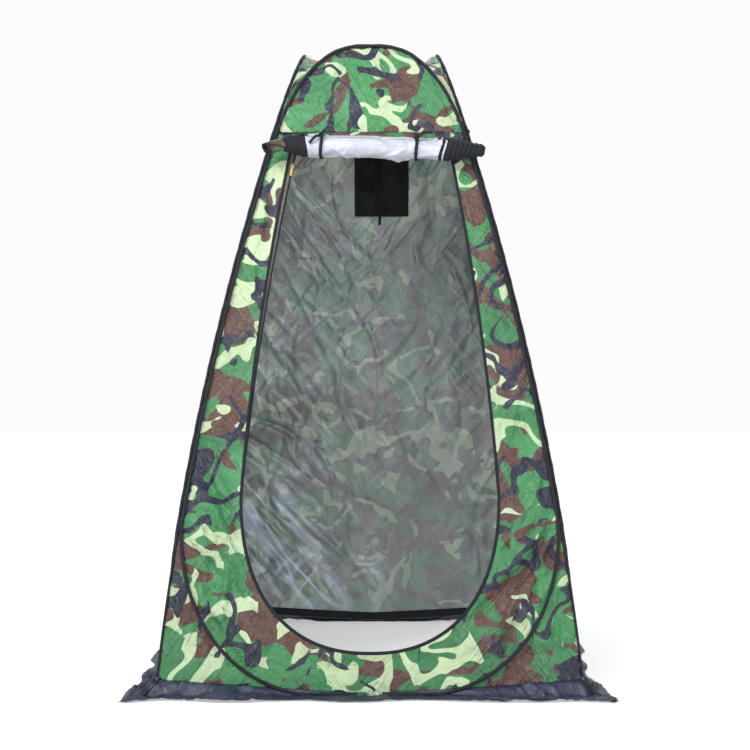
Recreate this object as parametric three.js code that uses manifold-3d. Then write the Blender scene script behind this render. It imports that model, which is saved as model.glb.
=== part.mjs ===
// Privacy shower tent: a pop-up cabin on a square plan. Four closed spring-steel hoops, each in a
// sewn sleeve, carry four cloth walls, a cloth roof and a ground skirt. The front wall has a
// U-shaped door, shown with its cloth rolled up and tied under the header.
//
// Millimetres, +Z up, the door faces -Y, and the origin is on the ground at the middle of the plan.

import * as THREE from 'three';
import { mergeVertices } from 'three/addons/utils/BufferGeometryUtils.js';
import Module from 'manifold-3d';

const wasm = await Module();
wasm.setup();

// ---------------------------------------------------------------- driving dimensions

// Half the plan width at height z is BASE_HALF - TAPER * z - BOW * z * z.
const BASE_HALF = 602.5;
const TAPER = 0.1;
const BOW = 0.000058;

// Cloth walls.
const CLOTH = 2;
const MITRE_GAP = 0.3;
const LEVEL_STEP = 120;
const HEM_MIDDLE_Z = 10;
const HEM_CORNER_Z = 46;
const HEM_POWER = 1.2;
const SEAM_Z = 1630;
const SEAM_GAP = 0.4;

// Top arch of every hoop: a superellipse between the corner edges.
const ARCH_SPRING_Z = 1600;
const ARCH_RISE = 305;
const ARCH_RISE_POWER = 2.6;
const ARCH_SPAN_POWER = 2.9;
const ARCH_STEPS = 14;
const WALL_ARCH_INSET = 4.5;
const OUTLINE_MARGIN = 10;
const CUTTER_Y = -BASE_HALF - 50;

// Lower bend of every hoop: it leaves the corner edges, crosses the wall and lies on the ground.
const BEND_TOP_Z = 500;
const BEND_DROP = 508;
const BEND_DROP_POWER = 1.6;
const BEND_SPAN_POWER = 2.8;
const BEND_STEPS = 16;
const HOOP_SIDE_STEPS = 5;
const HOOP_GROUND_Z = 7.4;

// Hoop wire, the sleeve around it and the crimped ferrule that joins the wire's ends.
const WIRE_RADIUS = 1.75;
const WIRE_SIDES = 5;
const SLEEVE_RADIUS = 4.5;
const SLEEVE_INNER_RADIUS = 3.5;
const SLEEVE_ARC_POINTS = 6;
const SLEEVE_SLIT_HALF_ANGLE = Math.PI / 6;
const SLEEVE_FROM_CORNER = 4.7;
const SLEEVE_FROM_WALL = 5.4;
const FERRULE_RADIUS = 2.7;
const FERRULE_BORE_RADIUS = 2.3;
const FERRULE_LENGTH = 44;
const FERRULE_SIDES = 8;
const FERRULE_STRETCH = 2;

// Piping down each corner edge, below the hoops.
const PIPING_RADIUS = 2.4;
const PIPING_SIDES = 6;
const PIPING_OFF_CORNER = 2.2;
const PIPING_LOW_Z = 56;
const PIPING_HIGH_Z = 496;

// Roof cloth between the four arches.
const ROOF_CORNER_Z = 1662;
const ROOF_EDGE_INSET = 1.3;
const ROOF_SAG = 300;
const ROOF_CELLS = 12;

// Ground skirt.
const SKIRT_REACH = 690;
const SKIRT_CLOTH = 2.2;
const SKIRT_STATIONS = 16;
const SKIRT_FLARE = 22;
const SKIRT_FLARE_FROM = 0.36;
const SKIRT_FLARE_TO = 0.62;
const SKIRT_KNEE_RISE = 0.45;
const SKIRT_FLAT_FROM = 50;
const HEM_TAPE_HEIGHT = 26;
const HEM_TAPE_THICKNESS = 1.2;
const SEWN_GAP = 0.4;

// Door opening: half width DOOR_HALF at DOOR_TURN_Z, curving in above it, and round below it.
const DOOR_TOP_Z = 1596;
const DOOR_TURN_Z = 560;
const DOOR_HALF = 372;
const DOOR_TAPER = 0.0683;
const DOOR_BOW = 0.0000587;
const DOOR_DROP = 445;
const DOOR_POWER = 2.3;
const DOOR_SIDE_STEPS = 9;
const DOOR_TURN_STEPS = 22;
const DOOR_BINDING_WIDTH = 7;

// Zip along the door edge. It stands further into the opening towards the top of the left edge.
const ZIP_INSET = 5;
const ZIP_EXTRA_INSET = 15;
const ZIP_EXTRA_FROM_Z = 600;
const ZIP_EXTRA_TO_Z = 1550;
const ZIP_DEPTH = 4.6;
const CHAIN_WIDTH = 4;
const CHAIN_THICKNESS = 2;
const ZIP_TAPE_THICKNESS = 1;
const ZIP_TAPE_REACH = 10;
const SLIDER_Z = 1526;
const SLIDER_TRAVEL_END_Z = 1176;
const SLIDER_LENGTH = 15;
const SLIDER_HALF_WIDTH = 5;
const SLIDER_SLOT = 5.4;
const SLIDER_PLATE = 1.5;
const CROWN_LENGTH = 11;
const CROWN_WIDTH = 2;
const CROWN_HEIGHT = 3.6;
const CROWN_LEG = 1.4;
const PULL_THICKNESS = 1.3;
const PULL_LENGTH = 34;
const PULL_HALF_WIDTH = 3.4;
const PULL_WINDOW_HALF_WIDTH = 1.6;
const PULL_WINDOW_LENGTH = 7;
const PULL_BAR = 0.75;

// Rolled door cloth and its two ties. Both ends of the roll step down where the turns run out.
const ROLL_Y = -351;
const ROLL_LEFT_X = -325;
const ROLL_RIGHT_X = 343;
const ROLL_LEFT_Z = 1586;
const ROLL_RIGHT_Z = 1566;
const ROLL_SIDES = 16;
const TIE_WIDTH = 10;
const TIE_THICKNESS = 1.4;
const LEFT_TIE = { x: -145, radius: 35.7, tail: [-32, -12, -20] };
const RIGHT_TIE = { x: 136, radius: 34.2, tail: [44, -4, 14] };
const KNOT_RADIUS = 5;

// Window in the back wall, its black frame, and the cover flap outside it.
const WINDOW_X = 34;
const WINDOW_HALF_WIDTH = 90;
const WINDOW_LOW_Z = 1434;
const WINDOW_HIGH_Z = 1650;
const WINDOW_FRAME_WIDTH = 9;
const FLAP_HALF_WIDTH = 106;
const FLAP_LOW_Z = 1412;
const FLAP_HIGH_Z = 1672;
const FLAP_FRONT = -3;
const FLAP_BACK = -1;
const TAPE_WIDTH = 9;
const TAPE_THICKNESS = 1.2;
const OUTER_TAPE_LOW_Z = 1470;
const INNER_TAPE_LENGTH = 264;
const INNER_TAPE_MIDDLE_Z = 1530;
const INNER_TAPE_OFF_WALL = 6.5;

// Webbing.
const PEG_LOOP_WIDTH = 24;
const WEBBING = 1.6;
const GUY_LOOP_Z = 1642;
const LEFT_GUY_LOOP_Z = 1590;
const GUY_LOOP_REACH = 22;

// Small trim on the front.
const STRAP_X = 231;
const STRAP_HALF_WIDTH = 8.5;
const STRAP_LOW_Z = 1602;
const HOOP_PATCH_WIDTH = 70;
const HOOP_PATCH_CLOTH = 1.2;
const LABEL_X = 22;
const LABEL_SIZE = [8, 0.8, 9];
const LABEL_Z = 8.6;

// ---------------------------------------------------------------- colours

const camo = { color: 0x4f7d4f, roughness: 0.75, metalness: 0 };
const silver = { color: 0xdfe3e6, roughness: 0.45, metalness: 0.1 };
const black = { color: 0x17181d, roughness: 0.8, metalness: 0 };
const skirtBlue = { color: 0x4b566b, roughness: 0.7, metalness: 0 };
const mesh = { color: 0x14161a, roughness: 0.9, metalness: 0 };
const steel = { color: 0x8d9196, roughness: 0.35, metalness: 0.9 };
const brass = { color: 0xb08a3c, roughness: 0.35, metalness: 0.9 };
const white = { color: 0xeeeeea, roughness: 0.8, metalness: 0 };

// ---------------------------------------------------------------- geometry helpers

const tent = new THREE.Group();

function add(name, geometry, look) {
  const piece = new THREE.Mesh(geometry, new THREE.MeshStandardMaterial(look));
  piece.name = name;
  tent.add(piece);
  return piece;
}

function point(x, y, z) {
  return new THREE.Vector3(x, y, z);
}

function mix(a, b, share) {
  return a + (b - a) * share;
}

function smooth(value, from, to) {
  return THREE.MathUtils.smoothstep(value, from, to);
}

// Turns every triangle over when the skin's enclosed volume comes out negative.
function facingOut(geometry) {
  const position = geometry.attributes.position;
  const index = Array.from(geometry.index.array);
  const a = point(0, 0, 0);
  const b = point(0, 0, 0);
  const c = point(0, 0, 0);
  let volume = 0;
  for (let i = 0; i < index.length; i += 3) {
    a.fromBufferAttribute(position, index[i]);
    b.fromBufferAttribute(position, index[i + 1]);
    c.fromBufferAttribute(position, index[i + 2]);
    volume += a.dot(b.cross(c));
  }
  if (volume < 0) {
    for (let i = 0; i < index.length; i += 3) {
      [index[i + 1], index[i + 2]] = [index[i + 2], index[i + 1]];
    }
    geometry.setIndex(index);
  }
  return geometry;
}

// Triangles of a cap: a fan for a convex ring, or a cut of the flattened ring.
function capTriangles(ring, flat) {
  if (!flat) return ring.slice(2).map((_, i) => [0, i + 1, i + 2]);
  const outline = ring.map(flat);
  const cut = THREE.ShapeUtils.triangulateShape(outline, []);
  const turn = THREE.ShapeUtils.isClockWise(outline) ? -1 : 1;
  return cut.map(([i, j, k]) => {
    const area = outline[j].clone().sub(outline[i]).cross(outline[k].clone().sub(outline[i]));
    return area * turn > 0 ? [i, j, k] : [i, k, j];
  });
}

// Closed skin over a row of rings with equal point counts. A closed row joins its last ring to
// its first; an open row gets two flat caps, triangulated in the plane that flat() maps to.
function loft(rings, closedRow = false, flat = null) {
  const count = rings[0].length;
  const positions = rings.flat().flatMap((p) => [p.x, p.y, p.z]);
  const index = [];
  const spans = closedRow ? rings.length : rings.length - 1;
  for (let r = 0; r < spans; r++) {
    const here = r * count;
    const there = ((r + 1) % rings.length) * count;
    for (let i = 0; i < count; i++) {
      const j = (i + 1) % count;
      index.push(here + i, here + j, there + j);
      index.push(here + i, there + j, there + i);
    }
  }
  if (!closedRow) {
    const last = (rings.length - 1) * count;
    for (const [i, j, k] of capTriangles(rings[0], flat)) {
      index.push(i, k, j);
      index.push(last + i, last + j, last + k);
    }
  }
  const geometry = new THREE.BufferGeometry();
  geometry.setAttribute('position', new THREE.Float32BufferAttribute(positions, 3));
  geometry.setIndex(index);
  return facingOut(geometry);
}

function toSolid(source) {
  const geometry = source.clone();
  geometry.deleteAttribute('normal');
  geometry.deleteAttribute('uv');
  const merged = mergeVertices(geometry, 0.001);
  const skin = new wasm.Mesh({
    numProp: 3,
    vertProperties: new Float32Array(merged.attributes.position.array),
    triVerts: new Uint32Array(merged.index.array),
  });
  return new wasm.Manifold(skin);
}

function fromSolid(solid) {
  const skin = solid.getMesh();
  const geometry = new THREE.BufferGeometry();
  geometry.setAttribute('position', new THREE.Float32BufferAttribute(skin.vertProperties, 3));
  geometry.setIndex(Array.from(skin.triVerts));
  return geometry;
}

function join(first, ...others) {
  const solids = others.map((geometry) => toSolid(geometry));
  return fromSolid(solids.reduce((whole, solid) => whole.add(solid), toSolid(first)));
}

// Prism along Y over an outline of (x, z) points.
function prism(outline, fromY, toY) {
  const shape = new THREE.Shape(outline);
  const geometry = new THREE.ExtrudeGeometry(shape, { depth: toY - fromY, bevelEnabled: false });
  geometry.rotateX(Math.PI / 2);
  geometry.translate(0, toY, 0);
  return geometry;
}

function rectangle(middleX, halfWidth, lowZ, highZ) {
  return [
    new THREE.Vector2(middleX - halfWidth, lowZ),
    new THREE.Vector2(middleX + halfWidth, lowZ),
    new THREE.Vector2(middleX + halfWidth, highZ),
    new THREE.Vector2(middleX - halfWidth, highZ),
  ];
}

function box(sizeX, sizeY, sizeZ, x, y, z) {
  return new THREE.BoxGeometry(sizeX, sizeY, sizeZ).translate(x, y, z);
}

// ---------------------------------------------------------------- the cabin's surfaces

function wallHalf(z) {
  return BASE_HALF - TAPER * z - BOW * z * z;
}

// Share of the wall's half width that the top arch spans at an angle from its springing.
function archPoint(angle) {
  const rise = Math.pow(Math.sin(angle), 2 / ARCH_RISE_POWER);
  const share = Math.pow(Math.abs(Math.cos(angle)), 2 / ARCH_SPAN_POWER);
  const z = ARCH_SPRING_Z + ARCH_RISE * rise;
  return { side: Math.sign(Math.cos(angle)), share, z };
}

function hemZ(u) {
  const share = Math.min(Math.abs(u) / BASE_HALF, 1);
  return HEM_MIDDLE_Z + (HEM_CORNER_Z - HEM_MIDDLE_Z) * Math.pow(share, HEM_POWER);
}

function levels(fromZ, toZ) {
  const count = Math.max(1, Math.round((toZ - fromZ) / LEVEL_STEP));
  return Array.from({ length: count + 1 }, (_, i) => mix(fromZ, toZ, i / count));
}

// Cloth slab that follows the bowed front plane, between two depths behind its outer face.
function frontSlab(fromZ, toZ, halfAt, front, back) {
  const rings = levels(fromZ, toZ).map((z) => [
    point(-halfAt(z, front), front - wallHalf(z), z),
    point(halfAt(z, front), front - wallHalf(z), z),
    point(halfAt(z, back), back - wallHalf(z), z),
    point(-halfAt(z, back), back - wallHalf(z), z),
  ]);
  return loft(rings);
}

// The same slab trimmed to an outline of (x, z) points.
function frontPatch(outline, front, back) {
  const heights = outline.map((corner) => corner.y);
  const low = Math.min(...heights) - 5;
  const high = Math.max(...heights) + 5;
  const slab = toSolid(frontSlab(low, high, (z, depth) => wallHalf(z) - depth - MITRE_GAP, front, back));
  return slab.intersect(toSolid(prism(outline, CUTTER_Y, 0)));
}

function hemOutline() {
  const outline = [new THREE.Vector2(-BASE_HALF - OUTLINE_MARGIN, HEM_CORNER_Z)];
  for (let i = 0; i <= SKIRT_STATIONS; i++) {
    const u = mix(-BASE_HALF, BASE_HALF, i / SKIRT_STATIONS);
    outline.push(new THREE.Vector2(u, hemZ(u)));
  }
  outline.push(new THREE.Vector2(BASE_HALF + OUTLINE_MARGIN, HEM_CORNER_Z));
  return outline;
}

function archOutline(inset) {
  const outline = [];
  for (let i = 0; i <= ARCH_STEPS; i++) {
    const { side, share, z } = archPoint((Math.PI * i) / ARCH_STEPS);
    const span = wallHalf(z) * share;
    const reach = Math.max(span - inset, 0);
    outline.push(new THREE.Vector2(side * reach, z - inset * (1 - share)));
  }
  return outline;
}

function fullWallOutline() {
  const outline = hemOutline();
  outline.push(new THREE.Vector2(BASE_HALF + OUTLINE_MARGIN, ARCH_SPRING_Z - 1));
  outline.push(...archOutline(WALL_ARCH_INSET));
  outline.push(new THREE.Vector2(-BASE_HALF - OUTLINE_MARGIN, ARCH_SPRING_Z - 1));
  return outline;
}

function turned(geometry, quarterTurns) {
  return geometry.clone().rotateZ((Math.PI / 2) * quarterTurns);
}

// Quarter turns that carry a front piece to each face of the square plan.
const faces = { front: 0, right: 1, back: 2, left: 3 };

// ---------------------------------------------------------------- walls and roof

function doorHalf(z) {
  const above = z - DOOR_TURN_Z;
  return DOOR_HALF - DOOR_TAPER * above - DOOR_BOW * above * above;
}

// The door edge from the top of its left side, round the sill, to the top of its right side,
// moved into the opening by inset(side, z).
function doorEdge(inset) {
  const edge = [];
  for (let i = 0; i <= DOOR_SIDE_STEPS; i++) {
    const z = mix(DOOR_TOP_Z, DOOR_TURN_Z, i / DOOR_SIDE_STEPS);
    edge.push(new THREE.Vector2(-(doorHalf(z) - inset(-1, z)), z));
  }
  for (let i = 1; i < DOOR_TURN_STEPS; i++) {
    const angle = (Math.PI * i) / DOOR_TURN_STEPS;
    const side = -Math.sign(Math.cos(angle));
    const shift = inset(side, DOOR_TURN_Z);
    const across = Math.pow(Math.abs(Math.cos(angle)), 2 / DOOR_POWER) * (DOOR_HALF - shift);
    const down = Math.pow(Math.sin(angle), 2 / DOOR_POWER) * (DOOR_DROP - shift);
    edge.push(new THREE.Vector2(side * across, DOOR_TURN_Z - down));
  }
  for (let i = DOOR_SIDE_STEPS; i >= 0; i--) {
    const z = mix(DOOR_TOP_Z, DOOR_TURN_Z, i / DOOR_SIDE_STEPS);
    edge.push(new THREE.Vector2(doorHalf(z) - inset(1, z), z));
  }
  return edge;
}

function buildFrontPanel() {
  const outline = hemOutline();
  outline.push(new THREE.Vector2(BASE_HALF + OUTLINE_MARGIN, SEAM_Z - SEAM_GAP));
  outline.push(new THREE.Vector2(-BASE_HALF - OUTLINE_MARGIN, SEAM_Z - SEAM_GAP));
  const trimmed = frontPatch(outline, 0, CLOTH);
  // Above the springing the panel also stays inside the arch.
  const belowArch = toSolid(prism(fullWallOutline(), CUTTER_Y, 0));
  const door = toSolid(prism(doorEdge(() => 0), CUTTER_Y, 0));
  return fromSolid(trimmed.intersect(belowArch).subtract(door));
}

function buildHeaderPanel() {
  const arch = toSolid(prism(fullWallOutline(), CUTTER_Y, 0));
  const aboveSeam = rectangle(0, BASE_HALF, SEAM_Z + SEAM_GAP, ARCH_SPRING_Z + ARCH_RISE + 5);
  return fromSolid(frontPatch(aboveSeam, 0, CLOTH).intersect(arch));
}

function buildPlainWall() {
  return frontPatch(fullWallOutline(), 0, CLOTH);
}

// The back wall is built at the front and turned, so its window's x is mirrored.
function buildBackPanel() {
  const window = rectangle(-WINDOW_X, WINDOW_HALF_WIDTH, WINDOW_LOW_Z, WINDOW_HIGH_Z);
  return fromSolid(buildPlainWall().subtract(toSolid(prism(window, CUTTER_Y, 0))));
}

// A point of the roof's edge above the front arch; share runs from -1 to 1.
function roofEdge(share) {
  const startSine = Math.pow((ROOF_CORNER_Z - ARCH_SPRING_Z) / ARCH_RISE, ARCH_RISE_POWER / 2);
  const start = Math.asin(startSine);
  const { side, share: span, z } = archPoint(mix(start, Math.PI - start, (1 - share) / 2));
  const outward = wallHalf(z) - ROOF_EDGE_INSET;
  const across = Math.abs(share) > 0.999 ? outward : span * wallHalf(z);
  return { across: side * across, outward, z };
}

// Saddle between the four arches: the sum of the edges, let down by a sag that is nil at the edges.
function roofPoint(a, b) {
  const front = roofEdge(a);
  const side = roofEdge(b);
  const corner = wallHalf(ROOF_CORNER_Z) - ROOF_EDGE_INSET;
  const sag = ROOF_SAG * (1 - a * a) * (1 - b * b);
  return point(
    front.across - a * (corner - side.outward),
    side.across - b * (corner - front.outward),
    front.z + side.z - ROOF_CORNER_Z - sag,
  );
}

function buildRoof() {
  const across = ROOF_CELLS + 1;
  const grid = [];
  for (let j = 0; j < across; j++) {
    for (let i = 0; i < across; i++) {
      const a = mix(-1, 1, i / ROOF_CELLS);
      const b = mix(-1, 1, j / ROOF_CELLS);
      grid.push({ a, b, place: roofPoint(a, b) });
    }
  }
  const small = 0.02;
  const normalAt = ({ a, b }) => {
    const alongA = roofPoint(Math.min(a + small, 1), b).sub(roofPoint(Math.max(a - small, -1), b));
    const alongB = roofPoint(a, Math.min(b + small, 1)).sub(roofPoint(a, Math.max(b - small, -1)));
    return alongA.cross(alongB).normalize();
  };
  const positions = [];
  for (const offset of [CLOTH / 2, -CLOTH / 2]) {
    for (const node of grid) {
      const place = node.place.clone().addScaledVector(normalAt(node), offset);
      positions.push(place.x, place.y, place.z);
    }
  }
  const layer = across * across;
  const index = [];
  for (let j = 0; j < ROOF_CELLS; j++) {
    for (let i = 0; i < ROOF_CELLS; i++) {
      const p = j * across + i;
      index.push(p, p + 1, p + across + 1, p, p + across + 1, p + across);
      index.push(layer + p, layer + p + across + 1, layer + p + 1);
      index.push(layer + p, layer + p + across, layer + p + across + 1);
    }
  }
  const rim = [];
  for (let i = 0; i < ROOF_CELLS; i++) rim.push(i);
  for (let j = 0; j < ROOF_CELLS; j++) rim.push(j * across + ROOF_CELLS);
  for (let i = ROOF_CELLS; i > 0; i--) rim.push(ROOF_CELLS * across + i);
  for (let j = ROOF_CELLS; j > 0; j--) rim.push(j * across);
  for (let i = 0; i < rim.length; i++) {
    const p = rim[i];
    const q = rim[(i + 1) % rim.length];
    index.push(p, layer + q, q, p, layer + p, layer + q);
  }
  const geometry = new THREE.BufferGeometry();
  geometry.setAttribute('position', new THREE.Float32BufferAttribute(positions, 3));
  geometry.setIndex(index);
  return facingOut(geometry);
}

// ---------------------------------------------------------------- hoops

// Centre line of the front hoop, anticlockwise from the top of its right lower bend.
function hoopPath() {
  const path = [];
  const place = (u, z) => path.push(point(u, -(wallHalf(z) + SLEEVE_FROM_WALL), z));
  const spread = (z) => wallHalf(z) - SLEEVE_FROM_CORNER;
  for (let i = 0; i < HOOP_SIDE_STEPS; i++) {
    const z = mix(BEND_TOP_Z, ARCH_SPRING_Z, i / HOOP_SIDE_STEPS);
    place(spread(z), z);
  }
  for (let i = 0; i <= ARCH_STEPS; i++) {
    const { side, share, z } = archPoint((Math.PI * i) / ARCH_STEPS);
    place(side * share * spread(z), z);
  }
  for (let i = HOOP_SIDE_STEPS - 1; i >= 0; i--) {
    const z = mix(BEND_TOP_Z, ARCH_SPRING_Z, i / HOOP_SIDE_STEPS);
    place(-spread(z), z);
  }
  for (let i = 1; i < BEND_STEPS; i++) {
    const angle = (Math.PI * i) / BEND_STEPS;
    const drop = Math.pow(Math.sin(angle), 2 / BEND_DROP_POWER) * BEND_DROP;
    const z = Math.max(BEND_TOP_Z - drop, HOOP_GROUND_Z);
    const share = Math.pow(Math.abs(Math.cos(angle)), 2 / BEND_SPAN_POWER);
    place(-Math.sign(Math.cos(angle)) * share * spread(z), z);
  }
  return path;
}

// Sweeps a section of (outward, sideways) points round the closed hoop path.
function sweepHoop(path, section) {
  const rings = path.map((centre, i) => {
    const before = path[(i + path.length - 1) % path.length];
    const after = path[(i + 1) % path.length];
    const along = after.clone().sub(before).normalize();
    const slope = TAPER + 2 * BOW * centre.z;
    const outward = point(0, -1, slope).normalize();
    const sideways = along.clone().cross(outward).normalize();
    return section.map(([out, aside]) =>
      centre.clone().addScaledVector(outward, out).addScaledVector(sideways, aside),
    );
  });
  return loft(rings, true);
}

function wireSection() {
  return Array.from({ length: WIRE_SIDES }, (_, i) => {
    const angle = (2 * Math.PI * i) / WIRE_SIDES;
    return [WIRE_RADIUS * Math.cos(angle), WIRE_RADIUS * Math.sin(angle)];
  });
}

// C section whose slit faces the wall, where the sleeve is sewn on.
function sleeveSection() {
  const arc = (radius) =>
    Array.from({ length: SLEEVE_ARC_POINTS }, (_, i) => {
      const reach = Math.PI - SLEEVE_SLIT_HALF_ANGLE;
      const angle = mix(-reach, reach, i / (SLEEVE_ARC_POINTS - 1));
      return [radius * Math.cos(angle), radius * Math.sin(angle)];
    });
  return [...arc(SLEEVE_RADIUS), ...arc(SLEEVE_INNER_RADIUS).reverse()];
}

// Tube round the middle of one straight stretch of the hoop.
function buildFerrule(path) {
  const start = path[FERRULE_STRETCH];
  const end = path[FERRULE_STRETCH + 1];
  const half = FERRULE_LENGTH / 2;
  const profile = [
    new THREE.Vector2(FERRULE_BORE_RADIUS, -half),
    new THREE.Vector2(FERRULE_RADIUS, -half),
    new THREE.Vector2(FERRULE_RADIUS, half),
    new THREE.Vector2(FERRULE_BORE_RADIUS, half),
    new THREE.Vector2(FERRULE_BORE_RADIUS, -half),
  ];
  const geometry = new THREE.LatheGeometry(profile, FERRULE_SIDES);
  const along = end.clone().sub(start).normalize();
  const turn = new THREE.Quaternion().setFromUnitVectors(point(0, 1, 0), along);
  geometry.applyQuaternion(turn);
  const middle = start.clone().add(end).multiplyScalar(0.5);
  return geometry.translate(middle.x, middle.y, middle.z);
}

// Piping beside the corner edge where the front and right walls meet.
function buildPiping() {
  const rings = levels(PIPING_LOW_Z, PIPING_HIGH_Z).map((z) => {
    const beside = wallHalf(z) + PIPING_OFF_CORNER;
    return Array.from({ length: PIPING_SIDES }, (_, i) => {
      const angle = (2 * Math.PI * i) / PIPING_SIDES;
      const across = PIPING_RADIUS * Math.cos(angle);
      const out = PIPING_RADIUS * Math.sin(angle);
      return point(beside + across, -beside + out, z);
    });
  });
  return loft(rings);
}

// ---------------------------------------------------------------- ground skirt and hem

// Section of the front skirt, as (distance out, z) points, at a share -1..1 of the way along it.
function skirtSection(share) {
  const hem = hemZ(share * BASE_HALF);
  const wall = wallHalf(hem);
  const flare = smooth(Math.abs(share), SKIRT_FLARE_FROM, SKIRT_FLARE_TO);
  const top = hem - 0.6;
  const kneeOut = wall + 0.1 + SKIRT_FLARE * flare;
  const kneeZ = SKIRT_CLOTH + SKIRT_KNEE_RISE * hem * flare;
  return [
    [wall - 1.8, top],
    [wall - 0.1, top],
    [kneeOut, kneeZ],
    [wall + SKIRT_FLAT_FROM, SKIRT_CLOTH],
    [SKIRT_REACH, SKIRT_CLOTH],
    [SKIRT_REACH, 0],
    [wall + SKIRT_FLAT_FROM - 4, 0],
    [kneeOut - 2.2, Math.max(kneeZ - SKIRT_CLOTH - 0.6, 0)],
  ];
}

function buildSkirt() {
  const rings = [];
  for (let i = 0; i <= SKIRT_STATIONS; i++) {
    const share = mix(-1, 1, i / SKIRT_STATIONS);
    rings.push(skirtSection(share).map(([out, z]) => point(share * (out - MITRE_GAP), -out, z)));
  }
  return loft(rings, false, (corner) => new THREE.Vector2(-corner.y, corner.z));
}

// Black tape sewn along the inside of a wall's lower edge.
function buildHemTape() {
  const outline = hemOutline();
  const top = hemOutline().reverse().map((corner) => {
    return new THREE.Vector2(corner.x, corner.y + HEM_TAPE_HEIGHT);
  });
  outline.push(...top);
  return fromSolid(frontPatch(outline, CLOTH + SEWN_GAP, CLOTH + SEWN_GAP + HEM_TAPE_THICKNESS));
}

// ---------------------------------------------------------------- door edge, zip and slider

function zipInset(side, z) {
  const rise = (z - ZIP_EXTRA_FROM_Z) / (ZIP_EXTRA_TO_Z - ZIP_EXTRA_FROM_Z);
  const extra = side < 0 ? ZIP_EXTRA_INSET * THREE.MathUtils.clamp(rise, 0, 1) : 0;
  return ZIP_INSET + extra;
}

// Ribbon round the door between two insets, and between two depths behind the wall's outer face.
function doorRibbon(outerInset, innerInset, front, back) {
  const outer = doorEdge(outerInset);
  const inner = doorEdge(innerInset);
  const rings = outer.map((o, i) => {
    const n = inner[i];
    return [
      point(o.x, front - wallHalf(o.y), o.y),
      point(n.x, front - wallHalf(n.y), n.y),
      point(n.x, back - wallHalf(n.y), n.y),
      point(o.x, back - wallHalf(o.y), o.y),
    ];
  });
  return loft(rings);
}

function chainPoint(z) {
  return point(-(doorHalf(z) - zipInset(-1, z)), ZIP_DEPTH - wallHalf(z), z);
}

// Slider frame: Y runs down the chain, Z points out of the tent, X across the zip. The straight
// path lies half way between the bowed chain's end chord and its middle.
const pathStart = chainPoint(SLIDER_Z);
const pathEnd = chainPoint(SLIDER_TRAVEL_END_Z);
const slideAxis = pathEnd.clone().sub(pathStart).normalize();
const chordMiddle = pathStart.clone().add(pathEnd).multiplyScalar(0.5);
const chainMiddle = chainPoint((SLIDER_Z + SLIDER_TRAVEL_END_Z) / 2);
const sliderPlace = pathStart.clone().addScaledVector(chainMiddle.sub(chordMiddle), 0.5);
const sliderOut = point(0, -1, 0);
sliderOut.addScaledVector(slideAxis, -sliderOut.dot(slideAxis)).normalize();
const sliderAcross = slideAxis.clone().cross(sliderOut).normalize();
const sliderFrame = new THREE.Matrix4().makeBasis(sliderAcross, slideAxis, sliderOut);
sliderFrame.setPosition(sliderPlace);

const plateOut = SLIDER_SLOT / 2 + SLIDER_PLATE;

// Loop of metal that a pull hangs on, on the plate that faces out (+1) or in (-1).
function crownParts(facing) {
  const legZ = facing * (plateOut + CROWN_HEIGHT / 2 - 0.2);
  const legY = CROWN_LENGTH / 2 - CROWN_LEG / 2;
  const barZ = facing * (plateOut + CROWN_HEIGHT - 0.9);
  return [
    box(CROWN_WIDTH, CROWN_LEG, CROWN_HEIGHT, 0, -legY, legZ),
    box(CROWN_WIDTH, CROWN_LEG, CROWN_HEIGHT, 0, legY, legZ),
    box(CROWN_WIDTH, CROWN_LENGTH, 1.4, 0, 0, barZ),
  ];
}

function buildSlider() {
  const plateZ = SLIDER_SLOT / 2 + SLIDER_PLATE / 2;
  const wedgeWidth = 1.6;
  // The wedge stands on the opening's side, so that the chain enters from the wall's side.
  const wedgeX = Math.sign(sliderAcross.x) * (SLIDER_HALF_WIDTH - wedgeWidth / 2);
  const body = join(
    box(2 * SLIDER_HALF_WIDTH, SLIDER_LENGTH, SLIDER_PLATE, 0, 0, plateZ),
    box(2 * SLIDER_HALF_WIDTH, SLIDER_LENGTH, SLIDER_PLATE, 0, 0, -plateZ),
    box(wedgeWidth, SLIDER_LENGTH, SLIDER_SLOT + SLIDER_PLATE, wedgeX, 0, 0),
    ...crownParts(1),
    ...crownParts(-1),
  );
  return body.applyMatrix4(sliderFrame);
}

// Flat tab whose bar passes under a crown. It is drawn with the bar at the origin.
function pullShape() {
  const shape = new THREE.Shape();
  const low = PULL_LENGTH;
  shape.moveTo(-PULL_HALF_WIDTH, -PULL_BAR);
  shape.lineTo(PULL_HALF_WIDTH, -PULL_BAR);
  shape.lineTo(PULL_HALF_WIDTH, low - 4);
  shape.quadraticCurveTo(PULL_HALF_WIDTH, low, 0, low);
  shape.quadraticCurveTo(-PULL_HALF_WIDTH, low, -PULL_HALF_WIDTH, low - 4);
  const window = new THREE.Path();
  window.moveTo(-PULL_WINDOW_HALF_WIDTH, PULL_BAR);
  window.lineTo(-PULL_WINDOW_HALF_WIDTH, PULL_WINDOW_LENGTH);
  window.lineTo(PULL_WINDOW_HALF_WIDTH, PULL_WINDOW_LENGTH);
  window.lineTo(PULL_WINDOW_HALF_WIDTH, PULL_BAR);
  shape.holes.push(window);
  return shape;
}

const pullBarZ = plateOut + 0.35 + PULL_THICKNESS / 2;
const wallLean = Math.asin(-slideAxis.y);

// The outer pull lies on its plate. The inner one hangs clear of the leaning wall.
function buildPull(facing) {
  const settings = { depth: PULL_THICKNESS, bevelEnabled: false, curveSegments: 5 };
  const geometry = new THREE.ExtrudeGeometry(pullShape(), settings);
  geometry.translate(0, 0, -PULL_THICKNESS / 2);
  if (facing < 0) geometry.rotateX(-wallLean);
  geometry.translate(0, 0, facing * pullBarZ);
  return geometry.applyMatrix4(sliderFrame);
}

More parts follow.
